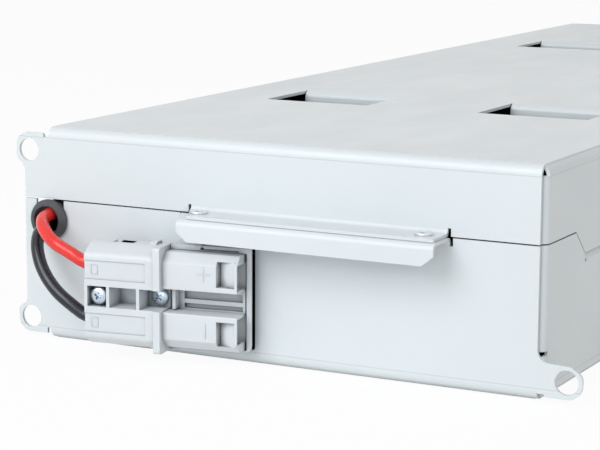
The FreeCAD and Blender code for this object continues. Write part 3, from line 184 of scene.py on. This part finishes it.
class Finish:
    """A material with one shader and short ways to add procedural detail to it."""

    def __init__(self, name, base, roughness, metallic=0.0):
        self.material = bpy.data.materials.new(name)
        self.material.use_nodes = True
        self.tree = self.material.node_tree
        self.shader = self.tree.nodes["Principled BSDF"]
        self.shader.inputs["Base Color"].default_value = (*base, 1)
        self.shader.inputs["Roughness"].default_value = roughness
        self.shader.inputs["Metallic"].default_value = metallic
        self.place = self.add("ShaderNodeTexCoord").outputs["Object"]
        self.colour = None
        self.normal = None

    def add(self, kind, **values):
        """A new node, with values for its settings or for its sockets."""
        node = self.tree.nodes.new(kind)
        for key, value in values.items():
            if hasattr(node, key):
                setattr(node, key, value)
            else:
                node.inputs[key.replace("_", " ").title()].default_value = value
        return node

    def link(self, source, target):
        self.tree.links.new(source, target)

    def noise(self, scale, detail=3.0, roughness=0.5, stretch=(1, 1, 1)):
        mapping = self.add("ShaderNodeMapping")
        mapping.inputs["Scale"].default_value = stretch
        self.link(self.place, mapping.inputs["Vector"])
        node = self.add("ShaderNodeTexNoise", Scale=scale, Detail=detail, Roughness=roughness)
        self.link(mapping.outputs["Vector"], node.inputs["Vector"])
        return node.outputs["Fac"]

    def ramp(self, source, low, high, start, end):
        node = self.add("ShaderNodeMapRange")
        for name, value in (("From Min", low), ("From Max", high), ("To Min", start), ("To Max", end)):
            node.inputs[name].default_value = value
        self.link(source, node.inputs["Value"])
        return node.outputs["Result"]

    def blend_colour(self, factor, first, second):
        """Blends two base colours, and goes past the second where the factor is over 1."""
        node = self.add("ShaderNodeMix", data_type="RGBA", clamp_factor=False)
        sockets = {socket.identifier: socket for socket in node.inputs}
        sockets["A_Color"].default_value = (*first, 1)
        sockets["B_Color"].default_value = (*second, 1)
        self.link(factor, sockets["Factor_Float"])
        outputs = {socket.identifier: socket for socket in node.outputs}
        self.colour = outputs["Result_Color"]
        self.link(self.colour, self.shader.inputs["Base Color"])

    def paint_gap_shade(self, reach, least):
        """Darkens the colour where other surfaces stand within reach: painted shade in gaps, recesses and
        crevices.
        """
        near = self.add("ShaderNodeAmbientOcclusion", samples=8)
        near.inputs["Distance"].default_value = reach
        gap_shade_tone = self.ramp(near.outputs["AO"], 0.15, 0.85, least, 1)
        product = self.add("ShaderNodeVectorMath", operation="MULTIPLY")
        self.link(self.colour, product.inputs[0])
        self.link(gap_shade_tone, product.inputs[1])
        self.link(product.outputs["Vector"], self.shader.inputs["Base Color"])

    def line_at(self, height, width):
        """A soft line at one height of the object's own z: 1 on the line and 0 beside it."""
        split = self.add("ShaderNodeSeparateXYZ")
        self.link(self.place, split.inputs["Vector"])
        away = self.add("ShaderNodeMath", operation="SUBTRACT")
        away.inputs[1].default_value = height
        self.link(split.outputs["Z"], away.inputs[0])
        distance = self.add("ShaderNodeMath", operation="ABSOLUTE")
        self.link(away.outputs[0], distance.inputs[0])
        return self.ramp(distance.outputs[0], width * 0.3, width, 1, 0)

    def vary_roughness(self, source, smoothest, roughest):
        self.link(self.ramp(source, 0.3, 0.7, smoothest, roughest), self.shader.inputs["Roughness"])

    def bump(self, source, strength, depth):
        node = self.add("ShaderNodeBump")
        node.inputs["Strength"].default_value = strength
        node.inputs["Distance"].default_value = depth
        self.link(source, node.inputs["Height"])
        if self.normal is not None:
            self.link(self.normal, node.inputs["Normal"])
        self.normal = node.outputs["Normal"]
        self.link(self.normal, self.shader.inputs["Normal"])

    def set(self, name, value):
        self.shader.inputs[name].default_value = value


def sheet_finish(settings):
    """Light powder-like coating on sheet steel: faint clouds, a fine grain and slow waves in the sheet,
    with painted shade in thin lines along the bends and in the gaps.
    """
    finish = Finish("coated_sheet", settings.sheet, settings.roughness)
    clouds = finish.ramp(finish.noise(9, 4, 0.55), 0.35, 0.68, 0, 1)
    # Painted shade: thin dark lines at the heights where the bends meet the flat sheet, pushed past the
    # cloud colour
    crease_shade = finish.add("ShaderNodeMath", operation="MAXIMUM")
    for place, height in enumerate((settings.crease_shade_top, settings.crease_shade_foot)):
        finish.link(finish.line_at(height, settings.crease_shade_width), crease_shade.inputs[place])
    shade = finish.add("ShaderNodeMath", operation="MULTIPLY_ADD")
    shade.inputs[1].default_value = settings.crease_shade_depth
    finish.link(crease_shade.outputs[0], shade.inputs[0])
    finish.link(clouds, shade.inputs[2])
    finish.blend_colour(shade.outputs[0], tuple(settings.sheet), tuple(settings.sheet_shade))
    # Painted shade in the narrow gaps and seams of the sheet
    finish.paint_gap_shade(reach=2.2 * MM, least=0.6)
    rough = settings.roughness
    finish.vary_roughness(finish.noise(55, 5, 0.6, (1, 0.4, 1)), rough - 0.07, rough + 0.07)
    finish.bump(finish.noise(5200, 2), strength=0.10, depth=0.02 * MM)
    finish.bump(finish.noise(16, 2, 0.4), strength=0.25, depth=0.16 * MM)
    finish.set("Specular IOR Level", 0.55)
    return finish.material


def plastic_finish(name, base, shade, roughness):
    """Moulded light-grey plastic with a fine spark-eroded grain, faint flow clouds and painted shade in its
    gaps and recesses.
    """
    finish = Finish(name, base, roughness)
    clouds = finish.ramp(finish.noise(60, 4, 0.6, (0.4, 1, 1)), 0.35, 0.7, 0, 1)
    finish.blend_colour(clouds, tuple(base), tuple(shade))
    # Painted shade in the recesses and gaps of the moulding
    finish.paint_gap_shade(reach=3.5 * MM, least=0.32)
    finish.vary_roughness(finish.noise(800, 2), roughness - 0.06, roughness + 0.06)
    finish.bump(finish.noise(6500, 2), strength=0.16, depth=0.02 * MM)
    finish.set("Subsurface Weight", 0.04)
    finish.set("Subsurface Scale", 0.6 * MM)
    return finish.material


def zinc_finish(name, base, roughness):
    """Plated metal with a mottled plating and a fine grain."""
    finish = Finish(name, base, roughness, metallic=1.0)
    mottle = finish.ramp(finish.noise(900, 3, 0.6), 0.3, 0.7, 0, 1)
    finish.blend_colour(mottle, tuple(base), tuple(0.86 * part for part in base))
    finish.vary_roughness(finish.noise(1500, 2), roughness - 0.08, roughness + 0.1)
    finish.bump(finish.noise(2600, 2), strength=0.2, depth=0.02 * MM)
    return finish.material


def rubber_finish(base):
    """Moulded rubber with a dull bloom and a fine grain."""
    finish = Finish("grommet_rubber", base, 0.62)
    bloom = finish.ramp(finish.noise(240, 4, 0.6), 0.35, 0.7, 0, 1)
    finish.blend_colour(bloom, tuple(base), tuple(1.5 * part for part in base))
    finish.bump(finish.noise(4200, 3), strength=0.3, depth=0.03 * MM)
    return finish.material


def sleeve_finish(name, base, roughness):
    """Soft extruded sleeve: glossy, with a fine grain and dusty patches."""
    finish = Finish(name, base, roughness)
    dust = finish.ramp(finish.noise(170, 4, 0.6), 0.42, 0.75, 0, 1)
    finish.blend_colour(dust, tuple(base), tuple(min(1, part * 1.12 + 0.01) for part in base))
    finish.vary_roughness(finish.noise(300, 3), roughness - 0.06, roughness + 0.1)
    finish.bump(finish.noise(2400, 2), strength=0.12, depth=0.02 * MM)
    finish.set("Specular IOR Level", 0.32)
    finish.set("Coat Weight", 0.34)
    finish.set("Coat Roughness", 0.09)
    return finish.material


def foam_finish():
    """Closed-cell foam: nearly black, with a grain of small cells."""
    finish = Finish("black_foam", (0.03, 0.031, 0.033), 0.95)
    finish.blend_colour(finish.noise(900, 2), (0.022, 0.023, 0.025), (0.045, 0.046, 0.05))
    finish.bump(finish.noise(1400, 2), strength=0.7, depth=0.25 * MM)
    return finish.material


def battery_finish():
    """Dark moulded battery case with a coarse grain."""
    finish = Finish("battery_case", (0.035, 0.037, 0.042), 0.5)
    finish.blend_colour(finish.noise(70, 4), (0.03, 0.032, 0.036), (0.05, 0.052, 0.057))
    finish.bump(finish.noise(2200, 3), strength=0.4, depth=0.04 * MM)
    return finish.material


def paint(node, material):
    """Gives a CAD node a material."""
    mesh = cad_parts[node].data
    mesh.materials.clear()
    mesh.materials.append(material)


# Meshes

def add_piece(name, mesh, material):
    """A finished piece of the part, with its material."""
    piece = bpy.data.objects.new(name, mesh)
    bpy.context.scene.collection.objects.link(piece)
    mesh.materials.clear()
    mesh.materials.append(material)
    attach(piece, "root")
    return piece


def smooth(mesh, angle=30):
    """Smooth shading, with a sharp edge where the surface turns by more degrees than the angle."""
    mesh.shade_smooth()
    mesh.set_sharp_from_angle(angle=math.radians(angle))


def mesh_from(bm, name, angle=30):
    """A smooth mesh with its faces outwards, from a bmesh that is then freed."""
    bmesh.ops.recalc_face_normals(bm, faces=bm.faces)
    mesh = bpy.data.meshes.new(name)
    bm.to_mesh(mesh)
    bm.free()
    smooth(mesh, angle)
    return mesh


def ease_edges(piece, width, segments):
    """Rounds the sharp edges of a piece by a bevel modifier."""
    bevel = piece.modifiers.new("eased_edges", "BEVEL")
    bevel.width = width
    bevel.segments = segments
    bevel.limit_method = "ANGLE"
    bevel.angle_limit = EASED_ANGLE
    bevel.use_clamp_overlap = True
    bevel.harden_normals = True


def dress(node, name, material, edge, segments=2):
    """A merged copy of a CAD node with eased edges, which stands for the node."""
    bm = bmesh.new()
    bm.from_mesh(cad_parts[node].data)
    bmesh.ops.remove_doubles(bm, verts=bm.verts, dist=0.002 * MM)
    mesh = bpy.data.meshes.new(name)
    bm.to_mesh(mesh)
    bm.free()
    if "custom_normal" in mesh.attributes:
        mesh.attributes.remove(mesh.attributes["custom_normal"])
    smooth(mesh)
    piece = add_piece(name, mesh, material)
    ease_edges(piece, edge, segments)
    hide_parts(node)
    return piece


def bar(bm, centre, size, ease):
    """Adds a small bar with eased edges to a bmesh."""
    made = bmesh.ops.create_cube(bm, size=1)
    bmesh.ops.scale(bm, vec=size, verts=made["verts"])
    bmesh.ops.translate(bm, vec=centre, verts=made["verts"])
    edges = list({edge for vert in made["verts"] for edge in vert.link_edges})
    bmesh.ops.bevel(bm, geom=edges, offset=ease, segments=2, profile=0.5, affect="EDGES", material=-1)


def turned(profile, segments):
    """A closed round piece about the y axis, from a profile of (radius, place) points."""
    bm = bmesh.new()
    verts = [bm.verts.new((radius, place, 0)) for radius, place in profile]
    edges = [bm.edges.new(pair) for pair in zip(verts, verts[1:])]
    bmesh.ops.spin(bm, geom=verts + edges, cent=(0, 0, 0), axis=(0, 1, 0), angle=math.tau, steps=segments,
                   use_merge=True)
    bmesh.ops.remove_doubles(bm, verts=bm.verts, dist=0.001 * MM)
    return bm


def subtract(mesh, cutter_mesh):
    """The first mesh with the second taken out of it."""
    body = bpy.data.objects.new("body", mesh)
    cutter = bpy.data.objects.new("cutter", cutter_mesh)
    for item in (body, cutter):
        bpy.context.scene.collection.objects.link(item)
    step = body.modifiers.new("cut", "BOOLEAN")
    step.operation = "DIFFERENCE"
    step.object = cutter
    step.solver = "EXACT"
    step.use_self = True
    bpy.context.view_layer.update()
    result = bpy.data.meshes.new_from_object(body.evaluated_get(bpy.context.evaluated_depsgraph_get()))
    for item in (body, cutter):
        bpy.data.objects.remove(item)
    return result


# Operators

class CARTRIDGE_OT_stage(bpy.types.Operator):
    """Camera, floor, softboxes and even white surroundings"""
    bl_idname = "cartridge.stage"
    bl_label = "Stage"

    def execute(self, context):
        settings = context.scene.cartridge_stage
        self.make_camera(context, settings)
        self.make_floor(context, settings)
        self.make_lights(context, settings)
        self.make_world(context, settings)
        context.scene.view_settings.view_transform = "Standard"
        return {"FINISHED"}

    def make_camera(self, context, settings):
        data = bpy.data.cameras.new("camera")
        data.sensor_width = 36
        data.lens = settings.lens
        data.clip_start = 0.01
        data.clip_end = 50
        camera = bpy.data.objects.new("camera", data)
        camera.location = settings.camera_place
        aim = Euler((math.pi / 2 - settings.camera_tilt, 0, settings.camera_turn)).to_matrix()
        camera.rotation_euler = (aim @ Matrix.Rotation(settings.camera_roll, 3, "Z")).to_euler()
        context.scene.collection.objects.link(camera)
        context.scene.camera = camera

    def make_floor(self, context, settings):
        bm = bmesh.new()
        bmesh.ops.create_grid(bm, x_segments=1, y_segments=1, size=settings.floor_width / 2)
        bmesh.ops.translate(bm, vec=(0, 0, -0.2 * MM), verts=bm.verts)
        mesh = bpy.data.meshes.new("floor")
        bm.to_mesh(mesh)
        bm.free()
        floor = bpy.data.objects.new("floor", mesh)
        context.scene.collection.objects.link(floor)
        mesh.materials.append(self.white_floor())

    def white_floor(self):
        """Backlit paper: white to the camera with a faint shadow, and a weaker glow under the object."""
        faint_glow, camera_glow = 0.27, 0.66
        finish = Finish("paper_floor", (0.86, 0.86, 0.86), 0.9)
        finish.set("Specular IOR Level", 0.0)
        glow = finish.add("ShaderNodeEmission", Strength=1.0)
        glow.inputs["Color"].default_value = (1, 1, 1, 1)
        path = finish.add("ShaderNodeLightPath")
        seen = finish.add("ShaderNodeMath", operation="MAXIMUM")
        finish.link(path.outputs["Is Camera Ray"], seen.inputs[0])
        finish.link(path.outputs["Is Glossy Ray"], seen.inputs[1])
        portion = finish.add("ShaderNodeMath", operation="MULTIPLY_ADD")
        portion.inputs[1].default_value = camera_glow
        portion.inputs[2].default_value = faint_glow
        finish.link(seen.outputs[0], portion.inputs[0])
        mix = finish.add("ShaderNodeMixShader")
        finish.link(portion.outputs[0], mix.inputs[0])
        finish.link(finish.shader.outputs[0], mix.inputs[1])
        finish.link(glow.outputs[0], mix.inputs[2])
        finish.link(mix.outputs[0], finish.tree.nodes["Material Output"].inputs["Surface"])
        return finish.material

    def make_lights(self, context, settings):
        """Four square softboxes, each at a place and aimed at a target on the part."""
        daylight, cool, plain = (0.96, 0.975, 1.0), (0.72, 0.86, 1.0), (1.0, 0.99, 0.96)
        boxes = (
            ("front_softbox", (-0.5, -2.0, 1.4), (0, -0.25, 0.05), 1.5, settings.key_power, daylight),
            ("low_softbox", (0.1, -2.4, 0.25), (0, -0.25, 0.04), 1.2, settings.fill_power, cool),
            ("top_softbox", (0.1, 0.2, 1.8), (0, 0, 0), 1.4, settings.top_power, plain),
            ("right_softbox", (1.7, -1.2, 1.3), (0.1, -0.1, 0.05), 0.7, settings.side_power, plain),
        )
        for name, place, target, size, energy, tint in boxes:
            data = bpy.data.lights.new(name, "AREA")
            data.energy = energy
            data.color = tint
            data.size = size
            lamp = bpy.data.objects.new(name, data)
            lamp.location = place
            lamp.rotation_euler = (Vector(target) - Vector(place)).to_track_quat("-Z", "Y").to_euler()
            context.scene.collection.objects.link(lamp)

    def make_world(self, context, settings):
        """White to the camera and in reflections, and a weaker even light on everything else."""
        world = bpy.data.worlds.new("white_room")
        context.scene.world = world
        world.use_nodes = True
        tree = world.node_tree
        tree.nodes.clear()
        output = tree.nodes.new("ShaderNodeOutputWorld")
        light = tree.nodes.new("ShaderNodeBackground")
        light.inputs["Color"].default_value = (0.985, 0.985, 0.99, 1)
        light.inputs["Strength"].default_value = settings.sky
        white = tree.nodes.new("ShaderNodeBackground")
        white.inputs["Color"].default_value = (1, 1, 1, 1)
        white.inputs["Strength"].default_value = 1
        path = tree.nodes.new("ShaderNodeLightPath")
        seen = tree.nodes.new("ShaderNodeMath")
        seen.operation = "MAXIMUM"
        mix = tree.nodes.new("ShaderNodeMixShader")
        tree.links.new(path.outputs["Is Camera Ray"], seen.inputs[0])
        tree.links.new(path.outputs["Is Glossy Ray"], seen.inputs[1])
        tree.links.new(seen.outputs[0], mix.inputs[0])
        tree.links.new(light.outputs[0], mix.inputs[1])
        tree.links.new(white.outputs[0], mix.inputs[2])
        tree.links.new(mix.outputs[0], output.inputs["Surface"])


class CARTRIDGE_OT_leads(bpy.types.Operator):
    """The red and the black lead, from the front batteries through the grommet into the connector"""
    bl_idname = "cartridge.leads"
    bl_label = "Leads"

    def execute(self, context):
        settings = context.scene.cartridge_lead
        glossy_red = sleeve_finish("red_sleeve", tuple(settings.red), 0.26)
        glossy_black = sleeve_finish("black_sleeve", tuple(settings.black), 0.24)
        for name, route, side, finish, real in (
            ("lead_red", RED_ROUTE, 1, glossy_red, RED_LENGTH),
            ("lead_black", BLACK_ROUTE, -1, glossy_black, BLACK_LENGTH),
        ):
            points = [Vector(point) * MM + Vector((0, FRONT, 0)) for point in route]
            height = side * CONTACT_HALF_SPACING
            for place in (BORE_MOUTH, BARREL_START):
                points.append(CONNECTOR_FRAME @ (Vector((place, CONTACT_OUT, height)) * MM))
            piece = self.make_lead(context, name + "_sleeve", points, settings.diameter, finish)
            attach(piece, "root")
            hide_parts(name)
        return {"FINISHED"}

    def make_lead(self, context, name, points, diameter, finish):
        curve = bpy.data.curves.new(name, "CURVE")
        curve.dimensions = "3D"
        spline = curve.splines.new("NURBS")
        spline.points.add(len(points) - 1)
        for control, point in zip(spline.points, points):
            control.co = (*point, 1)
        spline.order_u = 3
        spline.use_endpoint_u = True
        spline.resolution_u = 12
        curve.bevel_depth = diameter / 2
        curve.bevel_resolution = 8
        curve.use_fill_caps = True
        curve.materials.append(finish)
        piece = bpy.data.objects.new(name, curve)
        context.scene.collection.objects.link(piece)
        return piece


class CARTRIDGE_OT_case(bpy.types.Operator):
    """Coated tray and cover, and the rivets that join them"""
    bl_idname = "cartridge.case"
    bl_label = "Case"

    def execute(self, context):
        settings = context.scene.cartridge_case
        coated = sheet_finish(settings)
        for node in ("tray", "cover"):
            piece = dress(node, node + "_sheet", coated, settings.edge)
            if node == "tray":
                self.widen_port(piece)
        rivets = zinc_finish("rivet_steel", tuple(settings.rivet), 0.34)
        for node in ("handle_rivets", "rear_rivets"):
            dress(node, node + "_set", rivets, FASTENER_EDGE, 3)
        return {"FINISHED"}

    def widen_port(self, tray):
        """Carries the connector's opening on under the carrier's free edge, for a dark gap beside it."""
        left, right, low, high = (part * MM for part in (-15.2, -10.2, 5.2, 46))
        through, corner = 6 * MM, 1.2 * MM
        bm = bmesh.new()
        bar(bm, ((left + right) / 2, FRONT, (low + high) / 2), (right - left, through, high - low), corner)
        tray.data = subtract(tray.data, mesh_from(bm, "port_cutter"))
        smooth(tray.data)


class CARTRIDGE_OT_grommet(bpy.types.Operator):
    """Rubber grommet that the leads pass through, with a skirt that darkens the opening"""
    bl_idname = "cartridge.grommet"
    bl_label = "Grommet"

    def execute(self, context):
        settings = context.scene.cartridge_grommet
        bore, groove, flange, back = (
            size / 2 for size in (settings.bore, settings.groove, settings.flange, settings.back))
        front, wall, behind = -settings.proud, settings.wall, settings.skirt
        profile = [
            (bore, front), (flange - settings.chamfer, front), (flange, front / 2), (flange, 0),
            (groove, 0), (groove, wall), (back, wall), (back, behind), (bore, behind), (bore, front),
        ]
        bm = turned(profile, segments=96)
        bmesh.ops.translate(bm, vec=GROMMET_CENTRE, verts=bm.verts)
        rubber = rubber_finish(tuple(settings.rubber))
        piece = add_piece("grommet_ring", mesh_from(bm, "grommet_ring"), rubber)
        ease_edges(piece, settings.edge, 3)
        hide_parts("grommet")
        return {"FINISHED"}


class CARTRIDGE_OT_connector(bpy.types.Operator):
    """Moulded connector housing and carrier, with the raised marks on them"""
    bl_idname = "cartridge.connector"
    bl_label = "Connector"

    def execute(self, context):
        settings = context.scene.cartridge_connector
        base, shade = tuple(settings.plastic), tuple(settings.plastic_shade)
        moulded = plastic_finish("moulded_housing", base, shade, 0.45)
        shell = dress("connector_housing", "connector_shell", moulded, settings.edge, 3)
        self.open_blades(shell, moulded)
        # The carrier takes the housing's plastic 5 % darker: painted shade for the shadow it lies in
        carrier_plastic_shaded = plastic_finish("carrier_plastic_painted_shade", tuple(0.95 * part for part in base), shade, 0.5)
        seat = dress("connector_carrier", "connector_seat", carrier_plastic_shaded, settings.edge, 3)
        self.shape_seat(seat, settings.rim_skin)
        self.make_marks(settings, moulded)
        return {"FINISHED"}

    def open_blades(self, shell, material):
        """Opens the ends of the blades for the mating contacts, behind a sloping floor in each mouth."""
        hole_x, hole_y, hole_z = -5 * MM, -6.9 * MM, 10 * MM
        hole_size = (6 * MM, 8.6 * MM, 9.6 * MM)
        floor_x, floor_y, floor_z = -7.3 * MM, -9.7 * MM, 11.1 * MM
        floor_size = (7 * MM, 0.6 * MM, 9.6 * MM)
        floor_slope = math.radians(-20)
        cutter, floors = bmesh.new(), bmesh.new()
        for side in (1, -1):
            bar(cutter, (hole_x, hole_y, side * hole_z), hole_size, CUTTER_EDGE)
            bar(floors, (0, 0, side * floor_z), floor_size, 0.15 * MM)
        floors.transform(Matrix.Translation((floor_x, floor_y, 0)) @ Matrix.Rotation(floor_slope, 4, "Z"))
        for bm in (cutter, floors):
            bm.transform(CONNECTOR_FRAME)
        shell.data = subtract(shell.data, mesh_from(cutter, "blade_cutter"))
        smooth(shell.data)
        mesh = mesh_from(floors, "connector_mouth_floors")
        add_piece("connector_mouth_floors", mesh, material)

    def shape_seat(self, seat, skin):
        """Hollows the carrier's free edge into a thin lip and sinks a groove in its upper ledge."""
        before, behind, past_end = RIM_FRONT - 1, 4, 3
        all_heights = (-30, 30)
        groove_left, groove_right, groove_end, groove_floor = -20.6, -5.4, -19.3, -1.6
        groove_low, groove_high, end_high = 18.4, 18.95, 19.5
        cuts = (
            ((-0.6, past_end), (before, behind), all_heights),
            ((-1.9, past_end), (RIM_FRONT + skin / MM, behind), all_heights),
            ((groove_left, groove_right), (before, groove_floor), (groove_low, groove_high)),
            ((groove_left, groove_end), (before, groove_floor), (groove_low, end_high)),
        )
        bm = bmesh.new()
        for spans in cuts:
            centre = [(low + high) / 2 * MM for low, high in spans]
            bar(bm, centre, [(high - low) * MM for low, high in spans], CUTTER_EDGE)
        bm.transform(CONNECTOR_FRAME)
        seat.data = subtract(seat.data, mesh_from(bm, "seat_cutter"))
        smooth(seat.data)

    def make_marks(self, settings, material):
        """Raised plus and minus, and a small upright frame at the outer end of each panel."""
        bm = bmesh.new()
        rise, stroke, size = settings.mark_height, settings.mark_width, settings.mark_size
        ease = rise * 0.4
        blade, panel = BLADE_FRONT * MM, PANEL_FRONT * MM
        plus_x, plus_z, minus_x, minus_z = (part * MM for part in (-16.4, 10.9, -15.7, -10.2))
        for width, height in ((size, stroke), (stroke, size)):
            bar(bm, (plus_x, blade, plus_z), (width, 2 * rise, height), ease)
        bar(bm, (minus_x, blade, minus_z), (stroke, 2 * rise, size), ease)
        wide, tall, thin = 2.6 * MM, 3.4 * MM, 0.35 * MM
        frame_x, frame_z = -59.6 * MM, 10 * MM
        for middle in (frame_z, -frame_z):
            for end in (tall / 2, -tall / 2):
                bar(bm, (frame_x, panel, middle + end), (wide, 2 * rise, thin), ease)
            for side in (-wide / 2, wide / 2):
                bar(bm, (frame_x + side, panel, middle), (thin, 2 * rise, tall), ease)
        bmesh.ops.transform(bm, matrix=CONNECTOR_FRAME, verts=bm.verts)
        add_piece("connector_marks", mesh_from(bm, "connector_marks"), material)


class CARTRIDGE_OT_screws(bpy.types.Operator):
    """Two pan-head screws with a cross recess that hold the connector"""
    bl_idname = "cartridge.screws"
    bl_label = "Screws"

    def execute(self, context):
        settings = context.scene.cartridge_screw
        plated = zinc_finish("screw_zinc", tuple(settings.zinc), 0.26)
        for name, place, seat, twist in (("left_screw", -58.4, -10.4, 24), ("right_screw", -36.4, -4, 51)):
            mesh = self.make_screw(settings, name)
            place_matrix = Matrix.Translation(Vector((place, seat, 0)) * MM)
            mesh.transform(CONNECTOR_FRAME @ place_matrix @ Matrix.Rotation(math.radians(twist), 4, "Y"))
            smooth(mesh, 28)
            piece = add_piece(name, mesh, plated)
            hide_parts("connector_screws")
        dress("carrier_screws", "seat_screws", plated, FASTENER_EDGE)
        return {"FINISHED"}

    def make_screw(self, settings, name):
        """Domed head outwards along -y, seat at y = 0, and a shank behind it."""
        radius, height, shank = settings.head / 2, settings.head_height, settings.shank / 2
        shank_length, corner = 8 * MM, 0.12 * MM
        rounds, sweep, rim, flatness = 8, math.radians(78), 0.45, 0.95
        dome = [(0, -height)]
        for step in range(1, rounds + 1):
            angle = step / rounds * sweep
            place = -height * (rim + (1 - rim) * math.cos(angle * flatness))
            dome.append((radius * math.sin(angle) / math.sin(sweep), place))
        dome += [(radius, -0.25 * height), (radius - corner, 0)]
        dome += [(shank, 0), (shank, shank_length), (0, shank_length)]
        head = mesh_from(turned(dome, settings.segments), name, 28)
        cutter = bmesh.new()
        broad, fine = (2.1 * MM, 0.75 * MM, 1.5 * MM), (1.15 * MM, 0.34 * MM, 0.7 * MM)
        arm_taper, width_taper = 0.45, 0.7
        for degrees, (arm, thick, deep) in ((0, broad), (90, broad), (45, fine), (135, fine)):
            made = bmesh.ops.create_cube(cutter, size=1)
            bmesh.ops.scale(cutter, vec=(2 * arm, 2 * deep, thick), verts=made["verts"])
            for vert in made["verts"]:
                if vert.co.y > 0:
                    vert.co.x *= arm_taper
                    vert.co.z *= width_taper
            bmesh.ops.translate(cutter, vec=(0, -height, 0), verts=made["verts"])
            turn = Matrix.Rotation(math.radians(degrees), 3, "Y")
            bmesh.ops.rotate(cutter, cent=(0, 0, 0), matrix=turn, verts=made["verts"])
        cross = mesh_from(cutter, name + "_cross")
        return subtract(head, cross)


class CARTRIDGE_OT_inside(bpy.types.Operator):
    """Batteries, terminals, jumpers, contacts and foam inside the case"""
    bl_idname = "cartridge.inside"
    bl_label = "Inside"

    def execute(self, context):
        battery = battery_finish()
        foam = foam_finish()
        tin = zinc_finish("tinned_brass", (0.74, 0.70, 0.60), 0.3)
        silver = zinc_finish("silvered_copper", (0.82, 0.80, 0.76), 0.24)
        jumper = sleeve_finish("jumper_sleeve", (0.02, 0.021, 0.023), 0.4)
        rules = (
            ("battery_", battery), ("foam_", foam), ("spacer_", foam), ("terminals_", tin),
            ("receptacles", tin), ("contact_", silver), ("jumper_", jumper),
        )
        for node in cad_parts:
            for start, material in rules:
                if node.startswith(start):
                    paint(node, material)
        return {"FINISHED"}


class CARTRIDGE_PT_panel(bpy.types.Panel):
    """Sidebar panel with one button for each group of pieces"""
    bl_idname = "CARTRIDGE_PT_panel"
    bl_label = "Battery cartridge"
    bl_space_type = "VIEW_3D"
    bl_region_type = "UI"
    bl_category = "Cartridge"

    def draw(self, context):
        for step in STEPS:
            self.layout.operator(step.bl_idname)


STEPS = (
    CARTRIDGE_OT_stage, CARTRIDGE_OT_leads, CARTRIDGE_OT_case, CARTRIDGE_OT_grommet, CARTRIDGE_OT_connector,
    CARTRIDGE_OT_screws, CARTRIDGE_OT_inside,
)
SETTINGS = {
    "cartridge_case": CartridgeCaseSettings,
    "cartridge_connector": CartridgeConnectorSettings,
    "cartridge_screw": CartridgeScrewSettings,
    "cartridge_lead": CartridgeLeadSettings,
    "cartridge_grommet": CartridgeGrommetSettings,
    "cartridge_stage": CartridgeStageSettings,
}


def register():
    for item in (*SETTINGS.values(), *STEPS, CARTRIDGE_PT_panel):
        bpy.utils.register_class(item)
    for name, item in SETTINGS.items():
        setattr(bpy.types.Scene, name, PointerProperty(type=item))


def unregister():
    for name in SETTINGS:
        delattr(bpy.types.Scene, name)
    for item in (CARTRIDGE_PT_panel, *reversed(STEPS), *reversed(SETTINGS.values())):
        bpy.utils.unregister_class(item)


def main():
    register()
    for step in STEPS:
        group, name = step.bl_idname.split(".")
        getattr(getattr(bpy.ops, group), name)()


if __name__ == "__main__":
    main()
